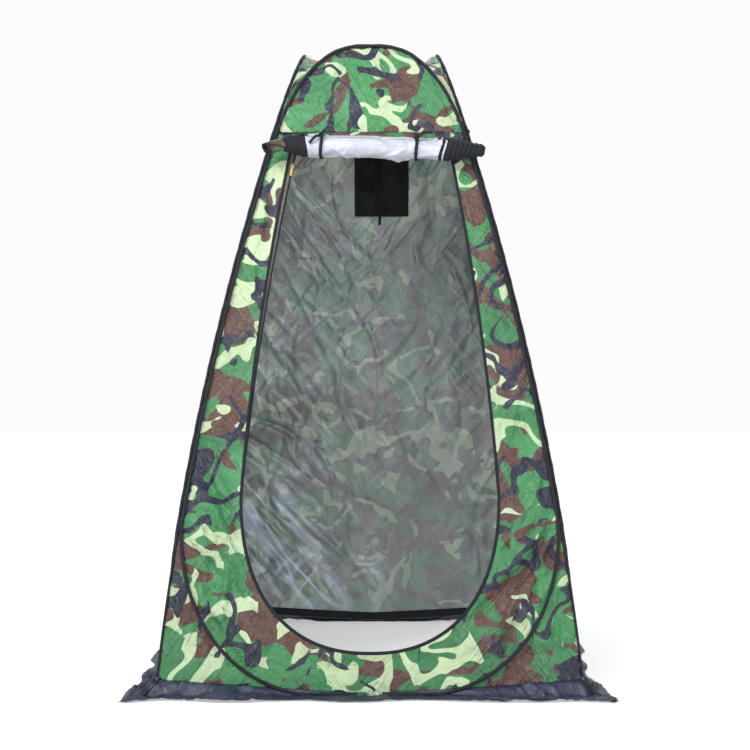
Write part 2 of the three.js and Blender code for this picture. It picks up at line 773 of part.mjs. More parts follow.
// ---------------------------------------------------------------- rolled door and its ties

const rollTilt = Math.atan2(ROLL_LEFT_Z - ROLL_RIGHT_Z, ROLL_RIGHT_X - ROLL_LEFT_X);
const rollMiddleX = (ROLL_LEFT_X + ROLL_RIGHT_X) / 2;
const rollMiddleZ = (ROLL_LEFT_Z + ROLL_RIGHT_Z) / 2;

// Profile radii of the roll against x, from the open left end to the right end.
const rollProfile = [
  [0, -292], [12, -292], [12, -325], [19, -325], [20.5, -262],
  [24, -258], [25, -246], [28, -243], [29, -231], [32, -228], [33, -214], [35.5, -211], [35.5, -199],
  [34, -196], [34.5, -120], [33, 0], [32, 214],
  [33.5, 218], [33.5, 232], [31.5, 235], [31.5, 240], [32.5, 243],
  [31, 262], [28.5, 265], [27.5, 281], [25, 284], [24, 300], [21.5, 303], [20, 319], [18, 322],
  [17, 341], [0, 343],
];

function placeOnRoll(geometry) {
  geometry.translate(-rollMiddleX, 0, 0);
  geometry.rotateY(rollTilt);
  return geometry.translate(rollMiddleX, ROLL_Y, rollMiddleZ);
}

function aroundRoll(profile) {
  const outline = profile.map(([radius, x]) => new THREE.Vector2(radius, x));
  return new THREE.LatheGeometry(outline, ROLL_SIDES).rotateZ(-Math.PI / 2);
}

function tieBand(x, radius) {
  const half = TIE_WIDTH / 2;
  return aroundRoll([
    [radius, x - half], [radius + TIE_THICKNESS, x - half],
    [radius + TIE_THICKNESS, x + half], [radius, x + half], [radius, x - half],
  ]);
}

// Strip from the header seam to the band, in front of the wall.
function tieHanger(x, radius, bandZ) {
  const seamOut = wallHalf(SEAM_Z) + 2.6;
  const from = point(x, -seamOut, SEAM_Z - 4);
  const to = point(x, ROLL_Y - 3, bandZ + radius + TIE_THICKNESS * 0.7);
  return strip(from, to, point(1, 0, 0), TIE_WIDTH, TIE_THICKNESS);
}

// Flat strip between two points, with its width along a given direction.
function strip(from, to, widthWay, width, thickness) {
  const along = to.clone().sub(from).normalize();
  const thick = along.clone().cross(widthWay).normalize();
  const wide = thick.clone().cross(along).normalize();
  const ring = (place) =>
    [[-1, -1], [1, -1], [1, 1], [-1, 1]].map(([w, t]) =>
      place.clone().addScaledVector(wide, (w * width) / 2).addScaledVector(thick, (t * thickness) / 2),
    );
  return loft([ring(from), ring(to)]);
}

function buildTie({ x, radius, tail: tailEnd }) {
  const bandZ = rollMiddleZ - (x - rollMiddleX) * Math.tan(rollTilt);
  const band = placeOnRoll(tieBand(x, radius));
  const knotOut = (radius + TIE_THICKNESS + KNOT_RADIUS - 1) * Math.SQRT1_2;
  const knotPlace = point(x, ROLL_Y - knotOut, bandZ + knotOut);
  const knot = new THREE.SphereGeometry(KNOT_RADIUS, 8, 6);
  knot.translate(knotPlace.x, knotPlace.y, knotPlace.z);
  const end = knotPlace.clone().add(point(...tailEnd));
  const tail = strip(knotPlace, end, point(0, -1, 1), 0.8 * TIE_WIDTH, TIE_THICKNESS);
  return join(band, tieHanger(x, radius, bandZ), knot, tail);
}

// ---------------------------------------------------------------- window

function windowPatch(halfWidth, lowZ, highZ, front, back) {
  return frontPatch(rectangle(-WINDOW_X, halfWidth, lowZ, highZ), front, back);
}

function buildWindowFrame() {
  const outer = WINDOW_HALF_WIDTH + 1;
  const inner = WINDOW_HALF_WIDTH - WINDOW_FRAME_WIDTH;
  const band = windowPatch(outer, WINDOW_LOW_Z - 1, WINDOW_HIGH_Z + 1, CLOTH + 0.4, CLOTH + 1.4);
  const low = WINDOW_LOW_Z + WINDOW_FRAME_WIDTH;
  const high = WINDOW_HIGH_Z - WINDOW_FRAME_WIDTH;
  const hole = prism(rectangle(-WINDOW_X, inner, low, high), CUTTER_Y, 0);
  return fromSolid(band.subtract(toSolid(hole)));
}

// ---------------------------------------------------------------- webbing and small trim

// Webbing loop that runs from a wall's lower corner out over the skirt along the diagonal.
function buildPegLoop() {
  const corner = wallHalf(HEM_CORNER_Z);
  const route = [[3, 46.4], [22, 25.8], [50, 5.6], [84, 3.4]];
  const wide = point(1, 1, 0).normalize();
  const rings = route.map(([out, z]) => {
    const place = point(corner + out, -(corner + out), z);
    return [[-1, 0], [1, 0], [1, 1], [-1, 1]].map(([w, t]) =>
      place.clone().addScaledVector(wide, (w * PEG_LOOP_WIDTH) / 2).add(point(0, 0, t * WEBBING)),
    );
  });
  return loft(rings);
}

// Folded webbing loop that stands out between the two sleeves of an upper corner.
function buildGuyLoop(height) {
  const near = (z) => wallHalf(z) * Math.SQRT2 + 1.5;
  const outline = [
    new THREE.Vector2(near(height + 12), height + 12),
    new THREE.Vector2(near(height - 8), height - 8),
    new THREE.Vector2(near(height) + GUY_LOOP_REACH - 4, height - 20),
    new THREE.Vector2(near(height) + GUY_LOOP_REACH, height - 10),
  ];
  const tab = prism(outline, -WEBBING / 2, WEBBING / 2);
  return tab.rotateZ(-Math.PI / 4);
}

function buildHeaderStrap() {
  const outline = rectangle(STRAP_X, STRAP_HALF_WIDTH, STRAP_LOW_Z, SEAM_Z + 1.5);
  return fromSolid(frontPatch(outline, -2.2, -0.8));
}

// Camo patch over the front hoop's sleeve where it lies on the ground, and a blank label on it.
function buildHoopPatch() {
  const out = wallHalf(HOOP_GROUND_Z) + SLEEVE_FROM_WALL;
  const gap = SLEEVE_RADIUS + 0.7;
  const top = HOOP_GROUND_Z + gap;
  const edgeZ = 4.4;
  const section = [
    [out - gap + 1, top + HOOP_PATCH_CLOTH], [out + gap, top + HOOP_PATCH_CLOTH],
    [out + gap, edgeZ], [out + gap - 0.3, edgeZ],
    [out + gap - 0.3, top], [out - gap + 1, top],
  ];
  const outline = section.map(([distance, z]) => new THREE.Vector2(-distance, z));
  const shape = new THREE.Shape(outline);
  const geometry = new THREE.ExtrudeGeometry(shape, { depth: HOOP_PATCH_WIDTH, bevelEnabled: false });
  geometry.rotateX(Math.PI / 2);
  geometry.rotateZ(Math.PI / 2);
  return geometry.translate(-HOOP_PATCH_WIDTH / 2, 0, 0);
}

function buildLabel() {
  const out = wallHalf(HOOP_GROUND_Z) + SLEEVE_FROM_WALL + SLEEVE_RADIUS + 1.6;
  return box(...LABEL_SIZE, LABEL_X, -out, LABEL_Z);
}

// ---------------------------------------------------------------- assembly

add('front_panel', buildFrontPanel(), camo);
add('front_header_panel', buildHeaderPanel(), camo);
add('back_panel', turned(buildBackPanel(), faces.back), camo);
add('left_panel', turned(fromSolid(buildPlainWall()), faces.left), camo);
add('right_panel', turned(fromSolid(buildPlainWall()), faces.right), camo);
add('roof_panel', buildRoof(), camo);

const path = hoopPath();
for (const [face, quarterTurns] of Object.entries(faces)) {
  add(`hoop_wire_${face}`, turned(sweepHoop(path, wireSection()), quarterTurns), steel);
  add(`hoop_sleeve_${face}`, turned(sweepHoop(path, sleeveSection()), quarterTurns), black);
  add(`hoop_ferrule_${face}`, turned(buildFerrule(path), quarterTurns), steel);
  add(`ground_skirt_${face}`, turned(buildSkirt(), quarterTurns), skirtBlue);
  add(`hem_tape_${face}`, turned(buildHemTape(), quarterTurns), black);
}

const bindingBack = CLOTH + 0.5;
add('door_binding', doorRibbon(() => 0.4, () => DOOR_BINDING_WIDTH + 0.4, -0.5, bindingBack), black);
const chainHalf = CHAIN_WIDTH / 2;
add(
  'zip_tape',
  doorRibbon(
    () => -ZIP_TAPE_REACH,
    (side, z) => zipInset(side, z) - chainHalf - 0.3,
    ZIP_DEPTH - ZIP_TAPE_THICKNESS / 2,
    ZIP_DEPTH + ZIP_TAPE_THICKNESS / 2,
  ),
  black,
);
add(
  'zip_chain',
  doorRibbon(
    (side, z) => zipInset(side, z) - chainHalf,
    (side, z) => zipInset(side, z) + chainHalf,
    ZIP_DEPTH - CHAIN_THICKNESS / 2,
    ZIP_DEPTH + CHAIN_THICKNESS / 2,
  ),
  black,
);
add('zip_slider', buildSlider(), brass);
add('zip_pull_outer', buildPull(1), brass);
add('zip_pull_inner', buildPull(-1), brass);

add('door_flap_roll', placeOnRoll(aroundRoll(rollProfile)), silver);
add('door_tie_left', buildTie(LEFT_TIE), black);
add('door_tie_right', buildTie(RIGHT_TIE), black);

const meshLow = WINDOW_LOW_Z + SEWN_GAP;
const meshHigh = WINDOW_HIGH_Z - SEWN_GAP;
const windowMesh = windowPatch(WINDOW_HALF_WIDTH - SEWN_GAP, meshLow, meshHigh, 0.5, 1.5);
add('window_mesh', turned(fromSolid(windowMesh), faces.back), mesh);
add('window_frame', turned(buildWindowFrame(), faces.back), black);
const flap = windowPatch(FLAP_HALF_WIDTH, FLAP_LOW_Z, FLAP_HIGH_Z, FLAP_FRONT, FLAP_BACK);
add('window_flap', turned(fromSolid(flap), faces.back), camo);
const outerTieBack = FLAP_FRONT - SEWN_GAP;
const outerTieFront = outerTieBack - TAPE_THICKNESS;
const outerTie = windowPatch(
  TAPE_WIDTH / 2, OUTER_TAPE_LOW_Z, FLAP_HIGH_Z, outerTieFront, outerTieBack,
);
add('window_tie_outer', turned(fromSolid(outerTie), faces.back), black);
const innerTieTop = INNER_TAPE_MIDDLE_Z + INNER_TAPE_LENGTH / 2;
const innerTie = box(TAPE_WIDTH, TAPE_THICKNESS, INNER_TAPE_LENGTH, 0, 0, 0);
innerTie.translate(WINDOW_X, wallHalf(innerTieTop) - INNER_TAPE_OFF_WALL, INNER_TAPE_MIDDLE_Z);
add('window_tie_inner', innerTie, black);

const corners = { front_right: 0, back_right: 1, back_left: 2, front_left: 3 };
for (const [corner, quarterTurns] of Object.entries(corners)) {
  add(`corner_piping_${corner}`, turned(buildPiping(), quarterTurns), black);
  add(`peg_loop_${corner}`, turned(buildPegLoop(), quarterTurns), black);
  const height = corner === 'front_left' ? LEFT_GUY_LOOP_Z : GUY_LOOP_Z;
  add(`guy_loop_${corner}`, turned(buildGuyLoop(height), quarterTurns), black);
}
add('header_strap', buildHeaderStrap(), camo);
add('hoop_patch', buildHoopPatch(), camo);
add('blank_label', buildLabel(), white);

export default tent;
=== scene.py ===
"""Looks of the privacy shower tent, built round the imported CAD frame. Metres, +Z up, door towards -Y."""

import math

import bpy
import numpy as np
from mathutils import Euler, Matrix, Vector


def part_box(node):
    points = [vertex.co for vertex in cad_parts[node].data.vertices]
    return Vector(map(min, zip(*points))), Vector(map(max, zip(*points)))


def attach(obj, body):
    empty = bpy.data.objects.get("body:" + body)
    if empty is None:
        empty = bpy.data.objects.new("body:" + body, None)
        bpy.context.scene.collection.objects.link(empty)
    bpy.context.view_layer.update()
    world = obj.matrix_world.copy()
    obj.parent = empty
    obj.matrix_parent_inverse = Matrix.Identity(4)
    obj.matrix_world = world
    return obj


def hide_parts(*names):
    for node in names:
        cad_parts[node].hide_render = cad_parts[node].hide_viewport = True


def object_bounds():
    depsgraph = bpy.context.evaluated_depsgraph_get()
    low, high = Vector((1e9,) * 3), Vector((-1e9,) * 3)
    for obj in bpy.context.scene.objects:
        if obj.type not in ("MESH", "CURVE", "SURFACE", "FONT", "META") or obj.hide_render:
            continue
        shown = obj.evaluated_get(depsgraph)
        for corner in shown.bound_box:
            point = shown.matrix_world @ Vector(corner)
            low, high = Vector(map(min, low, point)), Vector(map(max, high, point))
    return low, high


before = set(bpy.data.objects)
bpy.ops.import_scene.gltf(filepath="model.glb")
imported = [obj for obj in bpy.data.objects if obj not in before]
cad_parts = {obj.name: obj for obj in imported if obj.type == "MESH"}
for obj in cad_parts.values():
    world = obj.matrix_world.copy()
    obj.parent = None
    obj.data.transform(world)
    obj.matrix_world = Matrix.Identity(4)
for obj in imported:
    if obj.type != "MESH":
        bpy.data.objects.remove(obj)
cad_low, cad_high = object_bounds()

# ---- the cabin's dimensions

# Half the plan width at height z is BASE_HALF - TAPER * z - BOW * z * z.
BASE_HALF, TAPER, BOW = 0.6025, 0.1, 0.058
# The cloth stops this far short of the corner, where two walls meet, and lies this far in.
CORNER_GAP, CLOTH_DEPTH = 0.0008, 0.0004
HEM_MIDDLE_Z, HEM_CORNER_Z, HEM_POWER = 0.010, 0.046, 1.2
SEAM_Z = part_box("front_panel")[1][2]
ARCH_SPRING_Z, ARCH_RISE, ARCH_RISE_POWER, ARCH_SPAN_POWER = 1.600, 0.305, 2.6, 2.9
BEND_TOP_Z, BEND_DROP, BEND_DROP_POWER, BEND_SPAN_POWER = 0.500, 0.508, 1.6, 2.8
HOOP_GROUND_Z = 0.0074
SLEEVE_RADIUS, SLEEVE_FROM_CORNER, SLEEVE_FROM_WALL = 0.0051, 0.0047, 0.0054
WIRE_RADIUS = 0.00175
ROOF_CORNER_Z, ROOF_EDGE_INSET, ROOF_SAG = 1.625, 0.0013, 0.337
DOOR_TOP_Z, DOOR_TURN_Z, DOOR_HALF, DOOR_DROP = 1.596, 0.560, 0.372, 0.445
DOOR_TAPER, DOOR_BOW, DOOR_POWER = 0.0683, 0.0587, 2.3
ZIP_INSET, ZIP_EXTRA_INSET, ZIP_EXTRA_Z, ZIP_DEPTH = 0.005, 0.015, (0.600, 1.550), 0.0046
ROLL_LOW, ROLL_HIGH = (Vector(corner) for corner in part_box("door_flap_roll"))
SKIRT_REACH = cad_high[0]

# Quarter turns about Z that carry a front piece to each face.
FACES = {"front": 0, "right": 1, "back": 2, "left": 3}
CORNERS = ["front_right", "back_right", "back_left", "front_left"]


def wall_half(z):
    return BASE_HALF - TAPER * z - BOW * z * z


def smooth(value, low, high):
    t = np.clip((value - low) / (high - low), 0, 1)
    return t * t * (3 - 2 * t)


def between(value, low, high):
    return (value > low) & (value < high)


def hem_z(u):
    share = np.clip(np.abs(u) / BASE_HALF, 0, 1)
    return HEM_MIDDLE_Z + (HEM_CORNER_Z - HEM_MIDDLE_Z) * share**HEM_POWER


def arch_share(z):
    """Share of the wall's half width that the arch spans at height z."""
    t = np.clip((z - ARCH_SPRING_Z) / ARCH_RISE, 0, 1)
    return (1 - t**ARCH_RISE_POWER) ** (1 / ARCH_SPAN_POWER)


def oval(angle, rise_power, span_power):
    """Signed share of the half width and share of the height, at an angle round an arch."""
    across = np.cos(angle)
    return np.sign(across) * np.abs(across) ** (2 / span_power), np.sin(angle) ** (2 / rise_power)


def door_half(z):
    above = z - DOOR_TURN_Z
    return DOOR_HALF - DOOR_TAPER * above - DOOR_BOW * above * above


def quarter(points, turns):
    """Points turned by quarter turns about Z."""
    c, s = [(1, 0), (0, 1), (-1, 0), (0, -1)][turns % 4]
    turned = points.copy()
    turned[..., 0] = c * points[..., 0] - s * points[..., 1]
    turned[..., 1] = s * points[..., 0] + c * points[..., 1]
    return turned


# ---- node helpers


class Graph:
    """A node tree, with short calls for the nodes that the looks use."""

    def __init__(self, tree):
        self.tree = tree

    def put(self, node, name, value):
        """Links a socket to a node's input, or sets the input to a plain value."""
        if isinstance(value, bpy.types.NodeSocket):
            self.tree.links.new(value, node.inputs[name])
        else:
            node.inputs[name].default_value = value

    def node(self, kind, inputs, **settings):
        n = self.tree.nodes.new(kind)
        for key, value in settings.items():
            setattr(n, key, value)
        for name, value in inputs.items():
            self.put(n, name, value)
        return n

    def math(self, operation, a, b=0.0):
        return self.node("ShaderNodeMath", {0: a, 1: b}, operation=operation).outputs[0]

    def noise(self, vector, scale, detail=2.0, roughness=0.5, distortion=0.0):
        inputs = {"Vector": vector, "Scale": scale, "Detail": detail}
        inputs.update(Roughness=roughness, Distortion=distortion)
        return self.node("ShaderNodeTexNoise", inputs).outputs["Fac"]

    def ridge(self, vector, scale, *more):
        """0 along the lines where a noise crosses its middle value, more away from them."""
        noise = self.noise(vector, scale, *more)
        return self.math("ABSOLUTE", self.math("SUBTRACT", noise, 0.5))

    def mapping(self, vector, location=(0, 0, 0), rotation=(0, 0, 0), scale=(1, 1, 1)):
        inputs = {"Vector": vector, "Location": location, "Rotation": rotation, "Scale": scale}
        return self.node("ShaderNodeMapping", inputs).outputs[0]

    def ramp(self, value, from_low, from_high, to_low=0.0, to_high=1.0):
        inputs = {"Value": value, "From Min": from_low, "From Max": from_high}
        inputs.update({"To Min": to_low, "To Max": to_high})
        return self.node("ShaderNodeMapRange", inputs).outputs[0]

    def step(self, value, at, width):
        """0 below at, 1 above it, with a narrow slope between."""
        return self.ramp(value, at - width, at + width)

    def mix(self, share, a, b, blend="MIX"):
        inputs = {0: share, 6: a, 7: b}
        return self.node("ShaderNodeMix", inputs, data_type="RGBA", blend_type=blend).outputs[2]

    def shade(self, colour, brightness):
        """A colour multiplied by a grey value."""
        grey = self.node("ShaderNodeCombineColor", {0: brightness, 1: brightness, 2: brightness})
        return self.mix(1.0, colour, grey.outputs[0], "MULTIPLY")

    def split(self, vector):
        return self.node("ShaderNodeSeparateXYZ", {0: vector}).outputs

    def bump(self, height, distance, strength=1.0, normal=None):
        inputs = {"Height": height, "Distance": distance, "Strength": strength}
        if normal is not None:
            inputs["Normal"] = normal
        return self.node("ShaderNodeBump", inputs).outputs[0]


class Look(Graph):
    """A new material's graph, with the object's coordinates at hand."""

    def __init__(self, name):
        self.material = bpy.data.materials.new(name)
        self.material.use_nodes = True
        super().__init__(self.material.node_tree)
        self.coords = self.node("ShaderNodeTexCoord", {}).outputs["Object"]

    def finish(self, **values):
        """Fills in the shader and gives back the material."""
        for name, value in values.items():
            self.put(self.tree.nodes["Principled BSDF"], name.replace("_", " "), value)
        return self.material


# ---- materials

GREEN = (0.044, 0.200, 0.070, 1)
DEEP_GREEN = (0.025, 0.125, 0.046, 1)
BROWN = (0.078, 0.036, 0.029, 1)
NAVY = (0.014, 0.015, 0.034, 1)
PALE = (0.370, 0.470, 0.285, 1)


def branches(g, vector, shift, scale, mask_scale, reach):
    """1 inside branching fingers: ridges of one noise, as wide as another one allows."""
    ridge = g.ridge(g.mapping(vector, shift), scale, 0.8, 0.4, 0.7)
    room = g.noise(g.mapping(vector, shift, (0.7, 0.2, 0.4)), mask_scale, 0.5, 0.4, 0.5)
    width = g.math("MULTIPLY", g.math("SUBTRACT", room, 0.5 - reach), 0.9)
    limited = g.math("MINIMUM", width, 0.056)
    return g.step(g.math("SUBTRACT", limited, ridge), 0.0, 0.0025)


def camo_group():
    """Woodland pattern: green ground, brown patches, pale fingers and thin navy branches."""
    tree = bpy.data.node_groups.new("camo_pattern", "ShaderNodeTree")
    tree.interface.new_socket("Vector", in_out="INPUT", socket_type="NodeSocketVector")
    tree.interface.new_socket("Color", in_out="OUTPUT", socket_type="NodeSocketColor")
    g = Graph(tree)
    vector = g.node("NodeGroupInput", {}).outputs[0]
    brown_noise = g.noise(g.mapping(vector, (3.1, 0, 1.7), scale=(1, 1, 1.25)), 7.6, 1.0, 0.4, 0.9)
    brown = g.step(brown_noise, 0.537, 0.004)
    pale = branches(g, vector, (8.4, 2.2, 5.3), 8.0, 7.6, 0.055)
    navy = branches(g, vector, (1.3, 7.7, 9.1), 8.8, 8.4, 0.035)
    tone = g.noise(g.mapping(vector, (0.4, 0.9, 2.0)), 3.0)
    colour = g.mix(g.ramp(tone, 0.35, 0.65), GREEN, DEEP_GREEN)
    for share, patch in ((brown, BROWN), (pale, PALE), (navy, NAVY)):
        colour = g.mix(share, colour, patch)
    g.node("NodeGroupOutput", {0: colour})
    return tree


CAMO = camo_group()


def camo_colour(g, offset, flatten):
    """The print, which doesn't change along the axes that flatten sets to 0."""
    moved = g.mapping(g.coords, offset, scale=flatten)
    return g.node("ShaderNodeGroup", {"Vector": moved}, node_tree=CAMO).outputs[0]


def crumple(g, scale, stretch=(1, 1, 1)):
    """Height of small creases: folded noise, finer and finer."""
    moved = g.mapping(g.coords, scale=stretch)
    fine = g.ridge(moved, scale * 2.7, 2.0, 0.5, 0.9)
    return g.math("ADD", g.ridge(moved, scale, 3.0, 0.55, 0.6), g.math("MULTIPLY", fine, 0.45))


def tension_creases(g, angle, scale, shift):
    """Height of long sharp creases that run at an angle to the ground."""
    turned = g.mapping(g.coords, shift, (0, angle, 0))
    ridge = g.ridge(g.mapping(turned, scale=(0.16, 1, 1)), scale, 3.0, 0.55, 0.35)
    where = g.ramp(g.noise(turned, scale * 0.25, 1.0), 0.42, 0.60)
    return g.math("MULTIPLY", g.ramp(ridge, 0.0, 0.07, 1.0, 0.0), where)


def both_ways(g, angle, scale):
    """Creases leaning in from both sides."""
    one = tension_creases(g, angle, scale, (0.3, 0.1, 0.7))
    return g.math("ADD", one, tension_creases(g, -angle, scale, (5.1, 2.2, 3.9)))


def weave(g, threads_per_metre):
    """Height of a plain weave, as crossed waves on all three axes."""
    scaled = g.mapping(g.coords, scale=(threads_per_metre,) * 3)
    waves = [g.math("SINE", part) for part in g.split(scaled)]
    return g.math("MULTIPLY", g.math("ADD", waves[0], waves[1]), g.math("ADD", waves[2], 1.5))


def camo_material(name, offset, flatten):
    """Printed side of the wall cloth, with painted highlights along its creases."""
    g = Look(name)
    shade = g.ramp(g.noise(g.coords, 9.0, 4.0, 0.6), 0.3, 0.7, 0.86, 1.12)
    colour = g.shade(camo_colour(g, offset, flatten), shade)
    # Painted highlight, partly wear: the print is lightened along its sharpest creases and crinkles.
    creases = both_ways(g, 0.95, 22.0)
    crinkles = crumple(g, 34.0)
    wear_and_highlight = g.math("ADD", g.math("MULTIPLY", creases, 0.035), g.ramp(crinkles, 0.05, 0.0, 0.0, 0.08))
    rough = g.bump(crumple(g, 13.0), 0.012, 0.9)
    rough = g.bump(crinkles, 0.003, 0.8, rough)
    rough = g.bump(creases, 0.0032, 1.0, rough)
    return g.finish(
        Base_Color=g.mix(wear_and_highlight, colour, (0.60, 0.68, 0.66, 1)),
        Roughness=g.ramp(g.noise(g.coords, 60.0, 3.0), 0.3, 0.7, 0.31, 0.44),
        Normal=g.bump(weave(g, 5200.0), 0.00006, 0.5, rough),
        Sheen_Weight=0.03,
        Sheen_Roughness=0.4,
        Specular_IOR_Level=0.30,
    )


def lining_material(name, offset, flatten, light):
    """Silver-grey coated side, with the print showing dimly through and painted highlights along its
    creases.
    """
    g = Look(name)
    # A light below 1 makes a darker copy of the lining: painted shade.
    grey = (0.335 * light, 0.352 * light, 0.358 * light, 1)
    colour = g.mix(0.40, grey, camo_colour(g, offset, flatten))
    slanted = g.mapping(g.coords, rotation=(0, 0.6, 0), scale=(1, 1, 0.35))
    colour = g.shade(colour, g.ramp(g.noise(slanted, 16.0, 4.0), 0.3, 0.7, 0.85, 1.15))
    # Painted highlight: the colour is lightened to bluish silver along the creases, most of all low on one
    # side.
    creases = both_ways(g, 0.90, 9.0)
    fine = both_ways(g, 0.75, 26.0)
    x, y, z = g.split(g.coords)
    # Where the painted highlight is strongest: low, on the left, towards the back.
    low = g.math("MULTIPLY", g.ramp(z, 1.15, 0.35), g.ramp(x, 0.10, -0.30))
    low = g.math("MULTIPLY", low, g.ramp(y, 0.25, 0.40))
    painted_crease_sheen = g.math("MULTIPLY", creases, g.ramp(low, 0.0, 1.0, 0.06, 0.85))
    painted_highlight = g.math("ADD", painted_crease_sheen, g.math("MULTIPLY", fine, 0.07))
    rough = g.bump(crumple(g, 12.0, (1, 1, 0.8)), 0.006, 0.8)
    rough = g.bump(creases, 0.0024, 0.9, rough)
    return g.finish(
        Base_Color=g.mix(painted_highlight, colour, (0.60 * light, 0.67 * light, 0.82 * light, 1)),
        Roughness=g.ramp(g.noise(g.coords, 45.0, 3.0), 0.3, 0.7, 0.33, 0.46),
        Normal=g.bump(fine, 0.0005, 0.8, rough),
        Metallic=0.25,
        Specular_IOR_Level=0.6,
    )


def silver_material():
    """Bright coated cloth of the rolled door."""
    g = Look("silver_cloth")
    tone = g.ramp(g.noise(g.coords, 22.0, 4.0, 0.6), 0.3, 0.7)
    return g.finish(
        Base_Color=g.mix(tone, (0.49, 0.51, 0.56, 1), (0.34, 0.37, 0.43, 1)),
        Roughness=g.ramp(g.noise(g.coords, 70.0), 0.3, 0.7, 0.32, 0.46),
        Normal=g.bump(crumple(g, 11.0, (0.5, 1, 1)), 0.009),
        Metallic=0.12,
        Specular_IOR_Level=0.55,
    )


def tape_material(name, ribs_per_metre, colour):
    """Ribbed tape, worn a little lighter in places."""
    g = Look(name)
    worn = g.ramp(g.noise(g.coords, 90.0, 4.0, 0.6), 0.35, 0.75)
    return g.finish(
        Base_Color=g.mix(worn, (*colour, 1), (*(part * 1.9 for part in colour), 1)),
        Roughness=g.ramp(worn, 0.0, 1.0, 0.62, 0.82),
        Normal=g.bump(weave(g, ribs_per_metre), 0.0002, 0.7),
        Sheen_Weight=0.02,
        Sheen_Roughness=0.5,
        Specular_IOR_Level=0.25,
    )


def skirt_material():
    """Dark blue-grey coated cloth, dusty along its folds."""
    g = Look("skirt_cloth")
    dust = g.ramp(g.noise(g.coords, 24.0, 5.0, 0.65), 0.4, 0.75)
    return g.finish(
        Base_Color=g.mix(dust, (0.015, 0.020, 0.043, 1), (0.033, 0.042, 0.077, 1)),
        Roughness=g.ramp(dust, 0.0, 1.0, 0.42, 0.62),
        Normal=g.bump(crumple(g, 24.0), 0.006, 0.8),
        Specular_IOR_Level=0.5,
    )


def mesh_material():
    """Black insect mesh: a fine open net over painted shade, the dim inside of the tent seen through it.
    """
    g = Look("black_mesh")
    net = weave(g, 5600.0)
    # Painted shade of the inside behind the net: near black, a little lighter and greener in random
    # patches.
    behind = g.ramp(g.noise(g.coords, 14.0, 1.5), 0.45, 0.60)
    shown = g.mix(behind, (0.005, 0.006, 0.007, 1), (0.013, 0.017, 0.014, 1))
    return g.finish(
        Base_Color=g.mix(g.ramp(net, -2.0, 3.0, 0.0, 0.35), shown, (0.020, 0.021, 0.026, 1)),
        Roughness=g.ramp(g.noise(g.coords, 30.0), 0.3, 0.7, 0.7, 0.9),
        Normal=g.bump(net, 0.0001, 0.5),
        Specular_IOR_Level=0.2,
    )


def metal_material(name, colour, roughness):
    """Drawn or cast metal with fine scratches and worn, darker hollows."""
    g = Look(name)
    wear = g.ramp(g.noise(g.coords, 260.0, 4.0, 0.6), 0.35, 0.7)
    scratches = g.noise(g.mapping(g.coords, scale=(1, 1, 0.08)), 2400.0)
    return g.finish(
        Base_Color=g.mix(wear, (*colour, 1), (*(part * 0.55 for part in colour), 1)),
        Roughness=g.ramp(wear, 0.0, 1.0, roughness, roughness + 0.2),
        Normal=g.bump(scratches, 0.0001, 0.5),
        Metallic=1.0,
    )


def label_material():
    """White woven label, a little soiled."""
    g = Look("label_cloth")
    soiled = g.ramp(g.noise(g.coords, 160.0, 3.0), 0.35, 0.75)
    return g.finish(
        Base_Color=g.mix(soiled, (0.80, 0.80, 0.77, 1), (0.62, 0.61, 0.56, 1)),
        Roughness=0.8,
        Normal=g.bump(weave(g, 6000.0), 0.0001, 0.6),
    )


FACES_X, FACES_Y, FACES_Z, FACES_ALL = (0, 1, 1), (1, 0, 1), (1, 1, 0), (1, 1, 1)
# Of each printed part: the print's shift, the axes it varies along, and how light its lining is.
PRINTS = {
    "front": ((0.0, 0.0, 0.0), FACES_Y, 1.0),
    # The header's and roof's linings are made darker: painted shade.
    "header": ((0.37, 0.0, 0.21), FACES_Y, 0.9),
    "right": ((1.9, 3.3, 0.4), FACES_X, 1.0),
    "back": ((4.2, 1.1, 2.3), FACES_Y, 1.0),
    "left": ((6.3, 5.2, 1.1), FACES_X, 1.0),
    "roof": ((2.6, 6.1, 3.7), FACES_Z, 0.9),
    "flap": ((4.2, 1.1, 2.9), FACES_Y, 1.0),
    "roll": ((7.7, 2.5, 4.1), FACES_ALL, None),
    "strap": ((0.6, 3.9, 1.9), FACES_Y, None),
    "patch": ((2.9, 0.4, 0.8), FACES_Y, None),
}
camo_looks = {name: camo_material(f"camo_{name}", *PRINTS[name][:2]) for name in PRINTS}
lining_looks = {
    name: lining_material(f"lining_{name}", *values) for name, values in PRINTS.items() if values[2]
}
silver_look = silver_material()
tape_look = tape_material("black_tape", 2600.0, (0.007, 0.0075, 0.011))
sleeve_look = tape_material("black_sleeve", 1400.0, (0.008, 0.009, 0.013))
zip_tape_look = tape_material("zip_tape_cloth", 2600.0, (0.085, 0.090, 0.072))
thread_look = tape_material("grey_thread", 5200.0, (0.015, 0.016, 0.021))
skirt_look = skirt_material()
mesh_look = mesh_material()
steel_look = metal_material("spring_steel", (0.42, 0.43, 0.45), 0.28)
brass_look = metal_material("brass", (0.42, 0.30, 0.12), 0.30)
label_look = label_material()


# ---- mesh helpers


def add_object(name, data):
    made = bpy.data.objects.new(name, data)
    bpy.context.scene.collection.objects.link(made)
    return made


